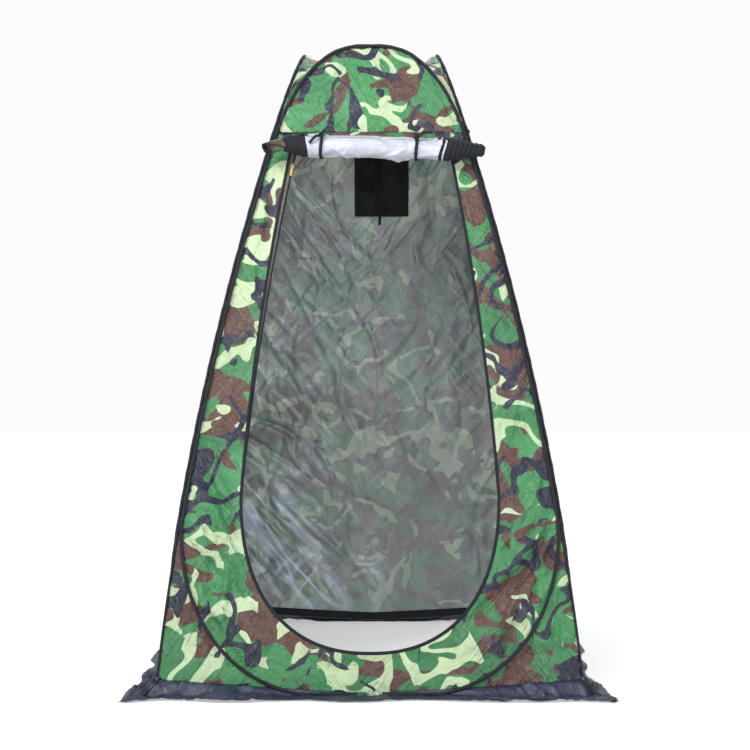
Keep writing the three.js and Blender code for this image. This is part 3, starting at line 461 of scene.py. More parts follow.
def make_piece(name, points, faces, looks, body, slot, nodes=(), face_look=None):
    """A smooth-shaded mesh piece that rides on a body and may stand for CAD nodes."""
    mesh = bpy.data.meshes.new(name)
    mesh.from_pydata([tuple(p) for p in points], [], [tuple(f) for f in faces])
    for look in looks:
        mesh.materials.append(look)
    if face_look is not None:
        mesh.polygons.foreach_set("material_index", np.asarray(face_look, np.int32))
    mesh.polygons.foreach_set("use_smooth", np.ones(len(mesh.polygons), bool))
    mesh.update()
    piece = add_object(name, mesh)
    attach(piece, body)
    if nodes:
        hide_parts(*nodes)
    return piece


def grid_faces(rows, columns, wrap_rows=False, wrap_columns=False):
    faces = []
    for r in range(rows if wrap_rows else rows - 1):
        for c in range(columns if wrap_columns else columns - 1):
            a = r * columns + c
            b = r * columns + (c + 1) % columns
            d = ((r + 1) % rows) * columns + c
            e = ((r + 1) % rows) * columns + (c + 1) % columns
            faces.append((a, b, e, d))
    return faces


def cloth(piece, thickness=0.0012, inner_look=1):
    """Gives a sheet its thickness behind its face; the back takes the next material."""
    solid = piece.modifiers.new("thickness", "SOLIDIFY")
    solid.thickness = thickness
    solid.offset = -1
    solid.material_offset = inner_look
    solid.material_offset_rim = 0


def unit(vectors):
    return vectors / np.linalg.norm(vectors, axis=-1, keepdims=True)


def sweep(path, out, section, closed=False):
    """Rings of (out, side) section points along a path; out is the direction that faces away."""
    if closed:
        along = unit(np.roll(path, -1, 0) - np.roll(path, 1, 0))
    else:
        along = unit(np.gradient(path, axis=0))
    out = unit(out - along * (out * along).sum(1, keepdims=True))
    side = np.cross(along, out)
    section = np.asarray(section)
    if section.ndim == 2:
        section = np.repeat(section[None], len(path), 0)
    return path[:, None] + out[:, None] * section[..., :1] + side[:, None] * section[..., 1:]


def round_section(radius, sides):
    angle = np.linspace(0, 2 * math.pi, sides, endpoint=False)
    return np.stack([radius * np.cos(angle), radius * np.sin(angle)], 1)


def flat_section(width, thickness):
    """Ring of a flat tape with rounded edges."""
    w, t = width / 2, thickness / 2
    flat = w * 0.92
    top = [[t, -flat], [t, 0], [t, flat], [0, w]]
    return np.array(top + [[-t, flat], [-t, 0], [-t, -flat], [0, -w]])


def tube(name, rings, look, body, slot, nodes=(), closed=False):
    """A closed skin over rings, with end caps unless the row of rings is closed."""
    rows, columns = rings.shape[:2]
    faces = grid_faces(rows, columns, closed, True)
    if not closed:
        faces.append(tuple(range(columns))[::-1])
        faces.append(tuple((rows - 1) * columns + c for c in range(columns)))
    points = rings.reshape(-1, 3)
    if signed_volume(points, faces) < 0:
        faces = [face[::-1] for face in faces]
    make_piece(name, points, faces, [look], body, slot, nodes)


def signed_volume(points, faces):
    total = 0.0
    for face in faces:
        a = points[face[0]]
        for i in range(1, len(face) - 1):
            total += float(np.dot(a, np.cross(points[face[i]], points[face[i + 1]])))
    return total


def resample(points, count):
    """Points spread evenly along a smooth curve through given ones."""
    points = np.asarray(points, float)
    knots = np.concatenate([[0], np.cumsum(np.linalg.norm(np.diff(points, axis=0), axis=1))])
    padded = np.vstack([2 * points[0] - points[1], points, 2 * points[-1] - points[-2]])
    t = np.linspace(0, knots[-1], count)
    span = np.clip(np.searchsorted(knots, t, "right") - 1, 0, len(points) - 2)
    f = ((t - knots[span]) / (knots[span + 1] - knots[span]))[:, None]
    p0, p1, p2, p3 = (padded[span + k] for k in range(4))
    square = (2 * p0 - 5 * p1 + 4 * p2 - p3) * f**2
    cube = (3 * p1 - p0 - 3 * p2 + p3) * f**3
    return 0.5 * (2 * p1 + (p2 - p0) * f + square + cube)


# ---- folds in cloth


def scatter_folds(count, low, high, angle, spread, length, width, height, seed):
    """Random folds in a rectangle of the wall: place, direction, size."""
    r = np.random.default_rng(seed)
    return [
        (
            r.uniform(low[0], high[0]),
            r.uniform(low[1], high[1]),
            r.normal(angle, spread),
            length * r.uniform(0.5, 1.5),
            width * r.uniform(0.6, 1.5),
            height * r.normal(0, 1),
            r.normal(0, 0.35),
        )
        for _ in range(count)
    ]


def crossed_folds(count, low, high, angle, spread, length, width, height, seed):
    """Folds that lean both ways by the same angle."""
    more = (spread, length, width, height)
    leaning = scatter_folds(count, low, high, angle, *more, seed)
    return leaning + scatter_folds(count, low, high, -angle, *more, seed + 1)


def fold_height(u, z, folds):
    total = np.zeros_like(u)
    for at_u, at_z, angle, length, width, height, bend in folds:
        du, dz = u - at_u, z - at_z
        along = du * math.cos(angle) + dz * math.sin(angle)
        across = -du * math.sin(angle) + dz * math.cos(angle) + bend * along * along / length
        crest = np.exp(1 - np.sqrt(1 + (across / width) ** 2 * 4))
        total += height * crest * np.exp(-((along / length) ** 2) * 2)
    return total


def waves(u, z, seed, wavelength):
    """Smooth random swell of about unit height."""
    r = np.random.default_rng(seed)
    total = np.zeros_like(u)
    directions = 9
    for _ in range(directions):
        angle, phase = r.uniform(0, math.pi), r.uniform(0, 2 * math.pi)
        k = 2 * math.pi / (wavelength * r.uniform(0.7, 1.4))
        total += np.sin(k * (u * math.cos(angle) + z * math.sin(angle)) + phase)
    return total / math.sqrt(directions / 2)


# ---- hoops


def hoop_line():
    """Centre line of the front hoop as (u, z)."""
    steps_side, steps_arch, steps_bend = 40, 90, 120
    side_z = np.linspace(BEND_TOP_Z, ARCH_SPRING_Z, steps_side, endpoint=False)
    arch = np.linspace(0, math.pi, steps_arch + 1)
    arch_span, rise = oval(arch, ARCH_RISE_POWER, ARCH_SPAN_POWER)
    bend = np.linspace(0, math.pi, steps_bend + 1)[1:-1]
    bend_span, drop = oval(bend, BEND_DROP_POWER, BEND_SPAN_POWER)
    bend_z = np.maximum(BEND_TOP_Z - BEND_DROP * drop, HOOP_GROUND_Z)
    z = np.concatenate([side_z, ARCH_SPRING_Z + ARCH_RISE * rise, side_z[::-1], bend_z])
    span = np.concatenate([np.ones_like(side_z), arch_span, -np.ones_like(side_z), -bend_span])
    return np.stack([span * (wall_half(z) - SLEEVE_FROM_CORNER), z], 1)


def even_loop(line, count):
    """A closed (u, z) line with evenly spread points."""
    closed = np.vstack([line, line[:1]])
    reach = np.concatenate([[0], np.cumsum(np.linalg.norm(np.diff(closed, axis=0), axis=1))])
    t = np.linspace(0, reach[-1], count, endpoint=False)
    return np.stack([np.interp(t, reach, closed[:, k]) for k in (0, 1)], 1)


HOOP_STEPS = 420
hoop_flat = even_loop(hoop_line(), HOOP_STEPS)


def build_hoops():
    u, z = hoop_flat.T
    path = np.stack([u, -(wall_half(z) + SLEEVE_FROM_WALL), z], 1)
    slope = TAPER + 2 * BOW * z
    out = np.stack([np.zeros_like(z), -np.ones_like(z), slope], 1)
    sides = 14
    along = np.arange(HOOP_STEPS)
    for face, turns in FACES.items():
        r = np.random.default_rng(20 + turns)
        # The sleeve's cloth gathers and twists a little along the wire.
        phase = r.uniform(0, 6.28, 4)
        ring = np.arange(sides) / sides * 2 * math.pi
        twist = ring[None] * 2 + 2 * math.pi * along[:, None] * 62 / HOOP_STEPS + phase[0]
        gather = ring[None] + 2 * math.pi * along[:, None] * 143 / HOOP_STEPS + phase[1]
        radius = SLEEVE_RADIUS * (1 + 0.10 * np.sin(twist) + 0.06 * np.sin(gather))
        section = np.stack([radius * np.cos(ring), radius * np.sin(ring)], 2)
        rings = quarter(sweep(path, out, section, closed=True), turns)
        tube(f"sleeve_{face}", rings, sleeve_look, "cabin", "black_tape", [f"hoop_sleeve_{face}"], True)
        wire = quarter(sweep(path, out, round_section(WIRE_RADIUS, 8), closed=True), turns)
        tube(f"wire_{face}", wire, steel_look, "cabin", "spring_steel", [f"hoop_wire_{face}"], True)


PIPING_RADIUS, PIPING_OFF_CORNER, PIPING_Z = 0.0034, 0.0022, (0.056, 0.496)


def build_corner_piping():
    """Black piping down each corner edge, below the hoops."""
    z = np.linspace(*PIPING_Z, 60)
    beside = wall_half(z) + PIPING_OFF_CORNER
    path = np.stack([beside, -beside, z], 1)
    out = np.stack([np.ones_like(z), -np.ones_like(z), 0 * z], 1)
    for face, turns in FACES.items():
        rings = quarter(sweep(path, out, round_section(PIPING_RADIUS, 12)), turns)
        name = f"piping_{face}"
        tube(name, rings, sleeve_look, "cabin", "black_tape", [f"corner_piping_{CORNERS[turns]}"])


# ---- walls


def hoop_distance(u, z):
    """Distance on the wall to the hoop's line."""
    points = np.stack([np.abs(u).ravel(), z.ravel()], 1)
    line = hoop_flat[hoop_flat[:, 0] >= 0]
    best = np.full(len(points), 9.0)
    for start in range(0, len(points), 20000):
        block = points[start : start + 20000]
        gap = np.linalg.norm(block[:, None] - line[None], axis=2)
        best[start : start + 20000] = gap.min(1)
    return best.reshape(u.shape)


def above_hem(u, z):
    """0 along the hem, where its tape holds the cloth, 1 well above it."""
    return smooth(z - hem_z(u), 0.020, 0.095)


RELIEF_LIMIT = 0.015


def wall_relief(u, z, seed, strength=1.0, corner=1.0):
    """How far the cloth stands off the tight surface, outwards positive."""
    near_corner = 1 - smooth(wall_half(z) - np.abs(u), 0.002, 0.05)
    swell = 0.0030 * waves(u, z, seed, 0.55)
    small = 0.0016 * waves(u, z, seed + 1, 0.13)
    low, high = (-0.55, 0.05), (0.55, 1.6)
    folds = crossed_folds(80, low, high, 1.05, 0.40, 0.20, 0.009, 0.0052, seed + 2)
    # The lower bend of the hoop pulls folds from its sides down towards the middle of the hem.
    for side in (-1, 1):
        low = (side * 0.48 - 0.12, 0.08)
        high = (side * 0.48 + 0.12, 0.66)
        pull = math.atan2(1, 0.85 * side)
        folds += scatter_folds(48, low, high, pull, 0.20, 0.22, 0.013, 0.0150 * corner, seed + 4)
        high = (high[0], 0.30)
        folds += scatter_folds(26, low, high, math.pi / 2, 0.16, 0.10, 0.011, 0.0090 * corner, seed + 5)
    # Folds that meet don't pile up.
    relief = swell + small + RELIEF_LIMIT * np.tanh(fold_height(u, z, folds) / RELIEF_LIMIT)
    hold = smooth(hoop_distance(u, z), 0.003, 0.022) * (1 - near_corner)
    return strength * relief * hold * above_hem(u, z) - CLOTH_DEPTH


def on_face(u, z, relief):
    """Points on the front wall, each standing off its surface by relief."""
    slope = TAPER + 2 * BOW * z
    length = np.sqrt(1 + slope * slope)
    y = -wall_half(z) - relief / length
    return np.stack([u, y, z + relief * slope / length], -1)


def full_wall_grid(rows, columns, bottom=None):
    """(u, z) over a whole wall, from the hem or from bottom up to the arch."""
    even = np.linspace(-1, 1, columns)
    a = np.sin(even * math.pi / 2) * 0.35 + even * 0.65
    v = np.linspace(0, 1, rows)
    top = ARCH_SPRING_Z + ARCH_RISE - 0.0035
    v = np.where(v > 0.8, 1 - (1 - v) ** 2 / 0.2 * 0.55 - (1 - v) * 0.45, v)
    v = (v - v[0]) / (v[-1] - v[0])
    low = hem_z(a[None] * BASE_HALF) if bottom is None else np.full((1, columns), bottom)
    z = low + (top - low) * v[:, None]
    under_arch = 0.003 * smooth(z, ARCH_SPRING_Z, ARCH_SPRING_Z + 0.06)
    edge = arch_share(z) * wall_half(z) - CORNER_GAP - under_arch
    return a[None] * np.maximum(edge, 0), z


def stretched_sheet(name, points, faces, face, node):
    """A printed and lined sheet of the cabin, held along its edges."""
    looks = [camo_looks[face], lining_looks[face]]
    piece = make_piece(name, points, faces, looks, "cabin", "camo_cloth", [node])
    cloth(piece)


def wall_piece(name, u, z, relief, turns, face, node, cut=None):
    points = quarter(on_face(u, z, relief).reshape(-1, 3), turns)
    faces = grid_faces(*u.shape)
    if cut is not None:
        centre = np.stack([u.ravel(), z.ravel()], 1)[np.asarray(faces)].mean(1)
        faces = [f for f, keep in zip(faces, ~cut(centre[:, 0], centre[:, 1])) if keep]
    stretched_sheet(name, points, faces, face, node)


WINDOW_LOW, WINDOW_HIGH = (Vector(corner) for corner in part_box("window_mesh"))
FLAP_LOW, FLAP_HIGH = (Vector(corner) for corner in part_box("window_flap"))
WINDOW_X = (WINDOW_LOW.x + WINDOW_HIGH.x) / 2
FLAP_HALF = (FLAP_HIGH.x - FLAP_LOW.x) / 2


def build_side_walls():
    for face in ("left", "right"):
        u, z = full_wall_grid(220, 150)
        relief = wall_relief(u, z, 100 + 10 * FACES[face], 0.85, 0.35)
        wall_piece(f"wall_{face}", u, z, relief, FACES[face], face, f"{face}_panel")


def back_relief(u, z):
    """The back wall is slack and hangs in long slanting folds."""
    relief = wall_relief(u, z, 300, 0.7)
    # The folds fall from both sides towards the middle of the hem.
    folds = scatter_folds(90, (0.0, 0.1), (0.5, 1.5), 0.95, 0.15, 0.26, 0.0060, 0.0040, 310)
    folds += scatter_folds(70, (-0.5, 0.1), (0.0, 1.5), -0.85, 0.18, 0.22, 0.0060, 0.0036, 311)
    folds += scatter_folds(36, (0.1, 0.05), (0.5, 0.75), 0.75, 0.18, 0.28, 0.010, 0.0085, 312)
    folds += scatter_folds(40, (-0.5, 0.1), (0.5, 1.5), 0.1, 0.7, 0.07, 0.004, 0.0026, 313)
    hold = smooth(hoop_distance(u, z), 0.004, 0.06) * smooth(wall_half(z) - np.abs(u), 0.0, 0.07)
    # The cloth lies flat behind the window's cover.
    beside = np.abs(u + (FLAP_LOW.x + FLAP_HIGH.x) / 2) - FLAP_HALF
    above = np.abs(z - (FLAP_LOW.z + FLAP_HIGH.z) / 2) - (FLAP_HIGH.z - FLAP_LOW.z) / 2
    hold = hold * smooth(np.maximum(beside, above), 0.004, 0.05)
    return (relief + fold_height(u, z, folds)) * hold * above_hem(u, z) - CLOTH_DEPTH


def build_back_wall():
    u, z = full_wall_grid(200, 150)
    # Grid lines are drawn onto the window's edges, so that the opening is cut clean.
    left, right = -WINDOW_HIGH.x, -WINDOW_LOW.x
    low, high = WINDOW_LOW.z, WINDOW_HIGH.z
    row_low, row_high = (int(np.argmin(np.abs(z[:, 75] - level))) for level in (low, high))
    z[row_low] = low
    z[row_high] = high
    for row in u[row_low : row_high + 1]:
        for edge in (left, right):
            row[np.argmin(np.abs(row - edge))] = edge

    def in_window(cu, cz):
        return between(cu, left, right) & between(cz, low, high)

    relief = back_relief(u, z)
    wall_piece("wall_back", u, z, relief, FACES["back"], "back", "back_panel", in_window)


def door_line(inset):
    """Door edge as (u, z) from the top left, round the sill, to the top right."""
    side_steps, turn_steps = 110, 150
    z = np.linspace(DOOR_TOP_Z, DOOR_TURN_Z, side_steps + 1)
    left = np.stack([-(door_half(z) - inset(-1, z)), z], 1)
    right = np.stack([door_half(z) - inset(1, z), z], 1)[::-1]
    angle = np.linspace(0, math.pi, turn_steps + 1)[1:-1]
    across, down = oval(angle, DOOR_POWER, DOOR_POWER)
    shift = inset(-across, np.full_like(angle, DOOR_TURN_Z))
    turn = np.stack([-across * (DOOR_HALF - shift), DOOR_TURN_Z - down * (DOOR_DROP - shift)], 1)
    return np.vstack([left, turn, right])


def outer_line(door):
    """Point of the panel's outer edge that belongs to each point of the door's edge."""
    outer = door.copy()
    level = door[:, 1] >= DOOR_TURN_Z
    outer[level, 0] = np.sign(door[level, 0]) * (wall_half(door[level, 1]) - CORNER_GAP)
    corner_u = wall_half(HEM_CORNER_Z) - CORNER_GAP
    corner_angle = math.atan2(corner_u, DOOR_TURN_Z - HEM_CORNER_Z)
    low = np.flatnonzero(~level)
    angle = np.linspace(-math.pi / 2, math.pi / 2, len(low) + 2)[1:-1]
    for side in (-1, 1):
        nearest = np.argmin(np.abs(angle - side * corner_angle))
        angle[nearest] = side * corner_angle
    for k, a in zip(low, angle):
        if abs(a) >= corner_angle - 1e-9:
            z = DOOR_TURN_Z
            for _ in range(30):
                z = DOOR_TURN_Z - (wall_half(z) - CORNER_GAP) / abs(math.tan(a))
            outer[k] = math.copysign(wall_half(z) - CORNER_GAP, a), z
        else:
            z = HEM_MIDDLE_Z
            for _ in range(30):
                z = float(hem_z(math.tan(a) * (DOOR_TURN_Z - z)))
            outer[k] = math.tan(a) * (DOOR_TURN_Z - z), z
    return outer


def build_front_wall():
    door = door_line(beside_edge(0.0))
    outer = outer_line(door)
    columns = 56
    t = np.linspace(0, 1, columns)
    ring = door[:, None] + (outer - door)[:, None] * t[None, :, None]
    # Strip over the door, up to the header seam.
    across = 60
    rows = []
    for z in np.linspace(DOOR_TOP_Z, SEAM_Z, 9):
        left = ring[0, ::-1, 0] * (wall_half(z) / wall_half(DOOR_TOP_Z))
        middle = np.linspace(left[-1], -left[-1], across)[1:-1]
        u = np.concatenate([left, middle, -left[::-1]])
        rows.append(np.stack([u, np.full_like(u, z)], 1))
    lintel = np.array(rows)
    flat = np.vstack([ring.reshape(-1, 2), lintel.reshape(-1, 2)])
    faces = grid_faces(*ring.shape[:2])
    base = ring.shape[0] * columns
    faces += [tuple(base + k for k in face) for face in grid_faces(*lintel.shape[:2])]
    to_door = np.linalg.norm(ring - door[:, None], axis=2).ravel()
    to_door = np.concatenate([to_door, lintel[..., 1].ravel() - DOOR_TOP_Z])
    relief = wall_relief(flat[:, 0], flat[:, 1], 200) * smooth(to_door, 0.004, 0.035)
    points = on_face(flat[:, 0], flat[:, 1], relief)
    looks = [camo_looks["front"], lining_looks["front"]]
    piece = make_piece("wall_front", points, faces, looks, "cabin", "camo_cloth", ["front_panel"])
    weld = piece.modifiers.new("weld", "WELD")
    weld.merge_threshold = 0.00005
    cloth(piece)


def build_header():
    """The half-moon over the door, rippled along its seam on the left."""
    u, z = full_wall_grid(40, 110, SEAM_Z + 0.0004)
    relief = 0.75 * wall_relief(u, z, 230)
    ripple = np.sin((z - SEAM_Z) * 190 + 18 * u) * 0.0016 * smooth(-u, 0.12, 0.22)
    relief = relief + ripple * smooth(hoop_distance(u, z), 0.003, 0.02)
    wall_piece("header", u, z, relief, 0, "header", "front_header_panel")


def roof_edge(share):
    start = math.asin(((ROOF_CORNER_Z - ARCH_SPRING_Z) / ARCH_RISE) ** (ARCH_RISE_POWER / 2))
    angle = start + (math.pi - 2 * start) * (1 - share) / 2
    span, rise = oval(angle, ARCH_RISE_POWER, ARCH_SPAN_POWER)
    z = ARCH_SPRING_Z + ARCH_RISE * rise
    outward = wall_half(z) - ROOF_EDGE_INSET
    across = np.where(np.abs(share) > 0.999, outward, np.abs(span) * wall_half(z))
    return np.sign(share) * across, outward, z


def build_roof():
    cells = 96
    line = np.linspace(-1, 1, cells + 1)
    a, b = np.meshgrid(line, line)
    front_x, front_out, front_z = roof_edge(a)
    side_x, side_out, side_z = roof_edge(b)
    corner = wall_half(ROOF_CORNER_Z) - ROOF_EDGE_INSET
    hold = (1 - a**2) * (1 - b**2)
    x = front_x - a * (corner - side_out)
    y = side_x - b * (corner - front_out)
    folds = crossed_folds(30, (-0.2, -0.2), (0.2, 0.2), 0.78, 0.3, 0.12, 0.010, 0.0035, 401)
    relief = 0.004 * waves(x, y, 400, 0.25) + fold_height(x, y, folds)
    z = front_z + side_z - ROOF_CORNER_Z - ROOF_SAG * hold + relief * smooth(hold, 0.0, 0.5)
    points = np.stack([x, y, z], -1).reshape(-1, 3)
    faces = grid_faces(cells + 1, cells + 1)
    stretched_sheet("roof", points, faces, "roof", "roof_panel")


# ---- ground skirt and hems


def build_skirt(face, turns):
    """Cloth that spreads over the ground from one hem, rucked up near its corners."""
    stations, across = 240, 34
    share = np.linspace(-1, 1, stations)[:, None]
    t = np.linspace(0, 1, across)[None]
    hem = hem_z(share * BASE_HALF)
    wall = wall_half(hem)
    seed = 500 + 10 * turns
    lay = share * 0.65 + 0 * t
    edge_wave = 0.012 * waves(lay, 0 * lay, seed, 0.30) - 0.012
    reach = SKIRT_REACH + np.minimum(edge_wave, 0.006) - 0.004
    reach = reach + 0.016 * smooth(np.abs(share), 0.86, 1.0) * (1 if turns in (0, 2) else 0.6)
    out = wall - 0.001 + (np.minimum(reach, SKIRT_REACH + 0.008) - wall) * t
    flare = smooth(np.abs(share), 0.36, 0.62)
    drop = 1 - smooth(t, 0.0, 0.16 + 0.34 * flare)
    z = 0.003 + (hem - 0.004) * drop
    folds = scatter_folds(70, (-0.68, 0.0), (0.68, 0.09), 1.2, 0.5, 0.06, 0.007, 0.0075, seed + 1)
    folds += scatter_folds(50, (-0.68, 0.0), (0.68, 0.09), 0.1, 0.4, 0.10, 0.008, 0.0060, seed + 2)
    height = np.abs(fold_height(lay, out - wall, folds))
    height = height + 0.004 * np.abs(waves(lay, out - wall, seed + 3, 0.12))
    puff = 0.010 * smooth(waves(lay, 0 * lay, seed + 4, 0.5), 0.2, 1.2)
    lift = (height + puff) * smooth(t, 0.02, 0.25) * (1 - 0.45 * smooth(t, 0.75, 1.0))
    z = z + lift * (0.35 + 0.65 * flare)
    side = share * (out - 0.0003)
    points = np.stack([side + 0 * t, -out, z + 0 * side], -1)
    points = quarter(points.reshape(-1, 3), turns)
    faces = [f[::-1] for f in grid_faces(stations, across)]
    name, nodes = f"skirt_{face}", [f"ground_skirt_{face}"]
    piece = make_piece(name, points, faces, [skirt_look], "cabin", "skirt_cloth", nodes)
    cloth(piece, 0.0010, 0)


def build_hem_tape(face, turns):
    """Black tape along the inside of one hem."""
    u = np.linspace(-1, 1, 120)[:, None] * (BASE_HALF - 0.010)
    rise = np.linspace(0.001, 0.027, 6)[None]
    z = hem_z(u) + rise
    edge = wall_half(z) - 0.005
    tape = on_face(np.clip(u, -edge, edge), z, 0 * z - 0.0026)
    tape = quarter(tape.reshape(-1, 3), turns)
    faces = [f[::-1] for f in grid_faces(120, 6)]
    name, nodes = f"hem_{face}", [f"hem_tape_{face}"]
    hem = make_piece(name, tape, faces, [tape_look], "cabin", "black_tape", nodes)
    cloth(hem, 0.0012, 0)


# ---- door edge, zip


def zip_inset(side, z):
    rise = np.clip((z - ZIP_EXTRA_Z[0]) / (ZIP_EXTRA_Z[1] - ZIP_EXTRA_Z[0]), 0, 1)
    return ZIP_INSET + np.where(np.asarray(side) < 0, ZIP_EXTRA_INSET * rise, 0.0)


def door_band(name, outer, inner, front, back, look, slot, node):
    """Band round the door between two insets and two depths, with rounded edges."""
    a, b = door_line(outer), door_line(inner)
    shares = np.array([0.0, 0.08, 0.5, 0.92, 1.0, 0.92, 0.5, 0.08])
    depths = np.array([0.5, 0.0, -0.12, 0.0, 0.5, 1.0, 1.0, 1.0])
    flat = a[:, None] + (b - a)[:, None] * shares[None, :, None]
    depth = front + (back - front) * depths[None]
    y = -wall_half(flat[..., 1]) + depth
    rings = np.stack([flat[..., 0], y, flat[..., 1]], -1)
    tube(name, rings, look, "cabin", slot, [node])


def beside_edge(distance):
    """Inset that is the same all round the door."""
    return lambda side, z: 0 * z + distance


def beside_zip(distance):
    """Inset measured from the middle of the zip."""
    return lambda side, z: zip_inset(side, z) + distance


def build_door_edge():
    outer, inner = beside_edge(-0.001), beside_edge(0.0074)
    door_band("binding", outer, inner, -0.0009, 0.0026, tape_look, "black_tape", "door_binding")
    outer, inner = beside_edge(-0.010), beside_zip(-0.0023)
    front, back = ZIP_DEPTH - 0.0005, ZIP_DEPTH + 0.0005
    door_band("zip_tape_cloth", outer, inner, front, back, zip_tape_look, "black_tape", "zip_tape")
    outer, inner = beside_zip(-0.0020), beside_zip(0.0030)
    front, back = ZIP_DEPTH - 0.0011, ZIP_DEPTH + 0.0011
    door_band("zip_teeth", outer, inner, front, back, tape_look, "zip_teeth", "zip_chain")


# ---- rolled door

ROLL_TURNS = 10.0
ROLL_OUTER, ROLL_INNER = 0.0345, 0.0125
# Where the rolled cloth's two edges lie, from the innermost turn's radius to the outermost's.
EDGE_RADII = [0.0125, 0.0192, 0.0207, 0.0260, 0.0315, 0.0345]
LEFT_EDGE_X = [-0.306, -0.308, -0.262, -0.236, -0.214, -0.203]
RIGHT_EDGE_X = [0.341, 0.331, 0.322, 0.286, 0.252, 0.234]
TAPE_WIDTH = 0.019
DROOP_START_X, DROOP_FORWARD, DROOP_DOWN = -0.240, 4.6, 3.8
# Columns of the cloth's grid near each edge, as distances from it.
EDGE_COLUMNS = [
    0, 0.0012, 0.0026, 0.004, 0.0054, 0.0068, 0.009, 0.0115, 0.014, 0.0165, 0.019, 0.024, 0.029, 0.034
]
# Each look of the outer side is followed by the look of its inner side.
ROLL_LOOKS = [silver_look, camo_looks["roll"], tape_look, tape_look, thread_look, tape_look]
ROLL_LOOKS += [camo_looks["roll"], camo_looks["roll"]]
SILVER, TAPE, THREAD, CAMO_OUT = 0, 2, 4, 6


def roll_axis(x):
    """Centre of the roll at x: it hangs a little lower on the right."""
    z_left, z_right = 1.586, 1.566
    z = z_left + (z_right - z_left) * (x - ROLL_LOW.x) / (ROLL_HIGH.x - ROLL_LOW.x)
    return (ROLL_LOW.y + ROLL_HIGH.y) / 2, z


def roll_frame(x):
    """Centre line of the roll with its soft left end drooping forward, and two axes across it."""
    y, z = roll_axis(x)
    past = np.maximum(DROOP_START_X - x, 0.0)
    y = y - DROOP_FORWARD * past**2
    z = z - DROOP_DOWN * past**2
    slope_y = 2 * DROOP_FORWARD * past
    slope_z = 2 * DROOP_DOWN * past
    forward = unit(np.stack([slope_y, -np.ones_like(x), 0 * x], -1))
    upward = unit(np.stack([-slope_z, 0 * x, np.ones_like(x)], -1))
    return np.stack([x, y + 0 * x, z], -1), forward, upward


def roll_looks(x, left, right, turn):
    """Material of each face, as an index into ROLL_LOOKS."""
    to_left, to_right = x - left, right - x
    look = np.where((to_left < TAPE_WIDTH) | (to_right < TAPE_WIDTH), TAPE, SILVER)
    stitch = between(to_left, 0.0012, 0.0026) | between(to_right, 0.0054, 0.0068)
    look = np.where(stitch, THREAD, look)
    look = np.where((x < -0.240) & (to_left > 0.0068) & (left < -0.2625), CAMO_OUT, look)
    second_band = (turn < 1.0) & between(to_right, 0.024, 0.034)
    return np.where(second_band, TAPE, look)


def build_roll():
    """Door cloth rolled up from its sill, so that inner turns are wider and stand out at the ends."""
    around, middle = int(ROLL_TURNS * 48), 110
    turn = np.linspace(0, ROLL_TURNS, around)[:, None]
    pitch = (ROLL_OUTER - ROLL_INNER) / ROLL_TURNS
    # Each turn keeps its ends for most of the way round, so that the edges stand in rings.
    ring_radius = ROLL_OUTER - pitch * (np.floor(turn) + smooth(turn % 1.0, 0.7, 1.0))
    left = np.interp(ring_radius, EDGE_RADII, LEFT_EDGE_X)
    right = np.interp(ring_radius, EDGE_RADII, RIGHT_EDGE_X)
    near = np.array(EDGE_COLUMNS)[None]
    s = np.linspace(0, 1, middle + 2)[None, 1:-1]
    inner_left, inner_right = left + EDGE_COLUMNS[-1], right - EDGE_COLUMNS[-1]
    x = np.hstack([left + near, inner_left + (inner_right - inner_left) * s, right - near[:, ::-1]])
    across = x.shape[1]
    angle = 2 * math.pi * turn + 0.9
    girth = (angle % (2 * math.pi)) * ROLL_OUTER
    dent = 0.0011 * waves(x, girth, 601, 0.16)
    creases = scatter_folds(46, (-0.2, 0.0), (0.23, 0.22), 0.5, 0.35, 0.075, 0.0060, 0.0030, 602)
    creases += scatter_folds(26, (-0.2, 0.0), (0.23, 0.22), 2.6, 0.3, 0.070, 0.0060, 0.0030, 603)
    dent = dent + fold_height(x, girth, creases)
    to_edge = np.minimum(x - left, right - x)
    loose = (1 - smooth(turn, 0.9, 1.4)) * smooth(to_edge, 0.015, 0.035)
    welt = 0.0012 * np.exp(-(((to_edge - 0.004) / 0.0035) ** 2)) * (x > -0.262)
    slim = -0.0016 * smooth(to_edge, 0.03, 0.08) * (x > -0.258)
    radius = ROLL_OUTER - pitch * turn + dent * loose + welt + slim
    centre, forward, upward = roll_frame(x)
    reach_forward = (radius * np.cos(angle))[..., None]
    reach_up = (radius * np.sin(angle))[..., None]
    points = (centre + forward * reach_forward + upward * reach_up).reshape(-1, 3)
    faces = grid_faces(around, across)
    look = roll_looks((x[:-1, :-1] + x[:-1, 1:]) / 2, left[:-1], right[:-1], turn[:-1]).ravel()
    place = ("rolled_door", "silver_lining", ["door_flap_roll"])
    piece = make_piece("door_cloth", points, faces, ROLL_LOOKS, *place, look)
    cloth(piece, 0.0009, 1)


def ribbon(name, points, out, width, body, nodes=()):
    """A flat tape along a smooth curve through given points."""
    rings = sweep(resample(points, 40), np.array([out], float), flat_section(width, TAPE_THICKNESS))
    tube(name, rings, tape_look, body, "black_tape", nodes)


TAPE_THICKNESS, TIE_WIDTH, TIE_END_WIDTH, WINDOW_TAPE_WIDTH = 0.0012, 0.0095, 0.0085, 0.009
# Each tie: its place along the roll, its loop's radius, and where its long and short ends point.
TIES = {
    "left": (-0.145, 0.0372, (-0.034, -0.010, -0.026), (0.012, -0.006, 0.016)),
    "right": (0.136, 0.0358, (0.047, -0.004, 0.016), (0.006, -0.006, 0.010)),
}


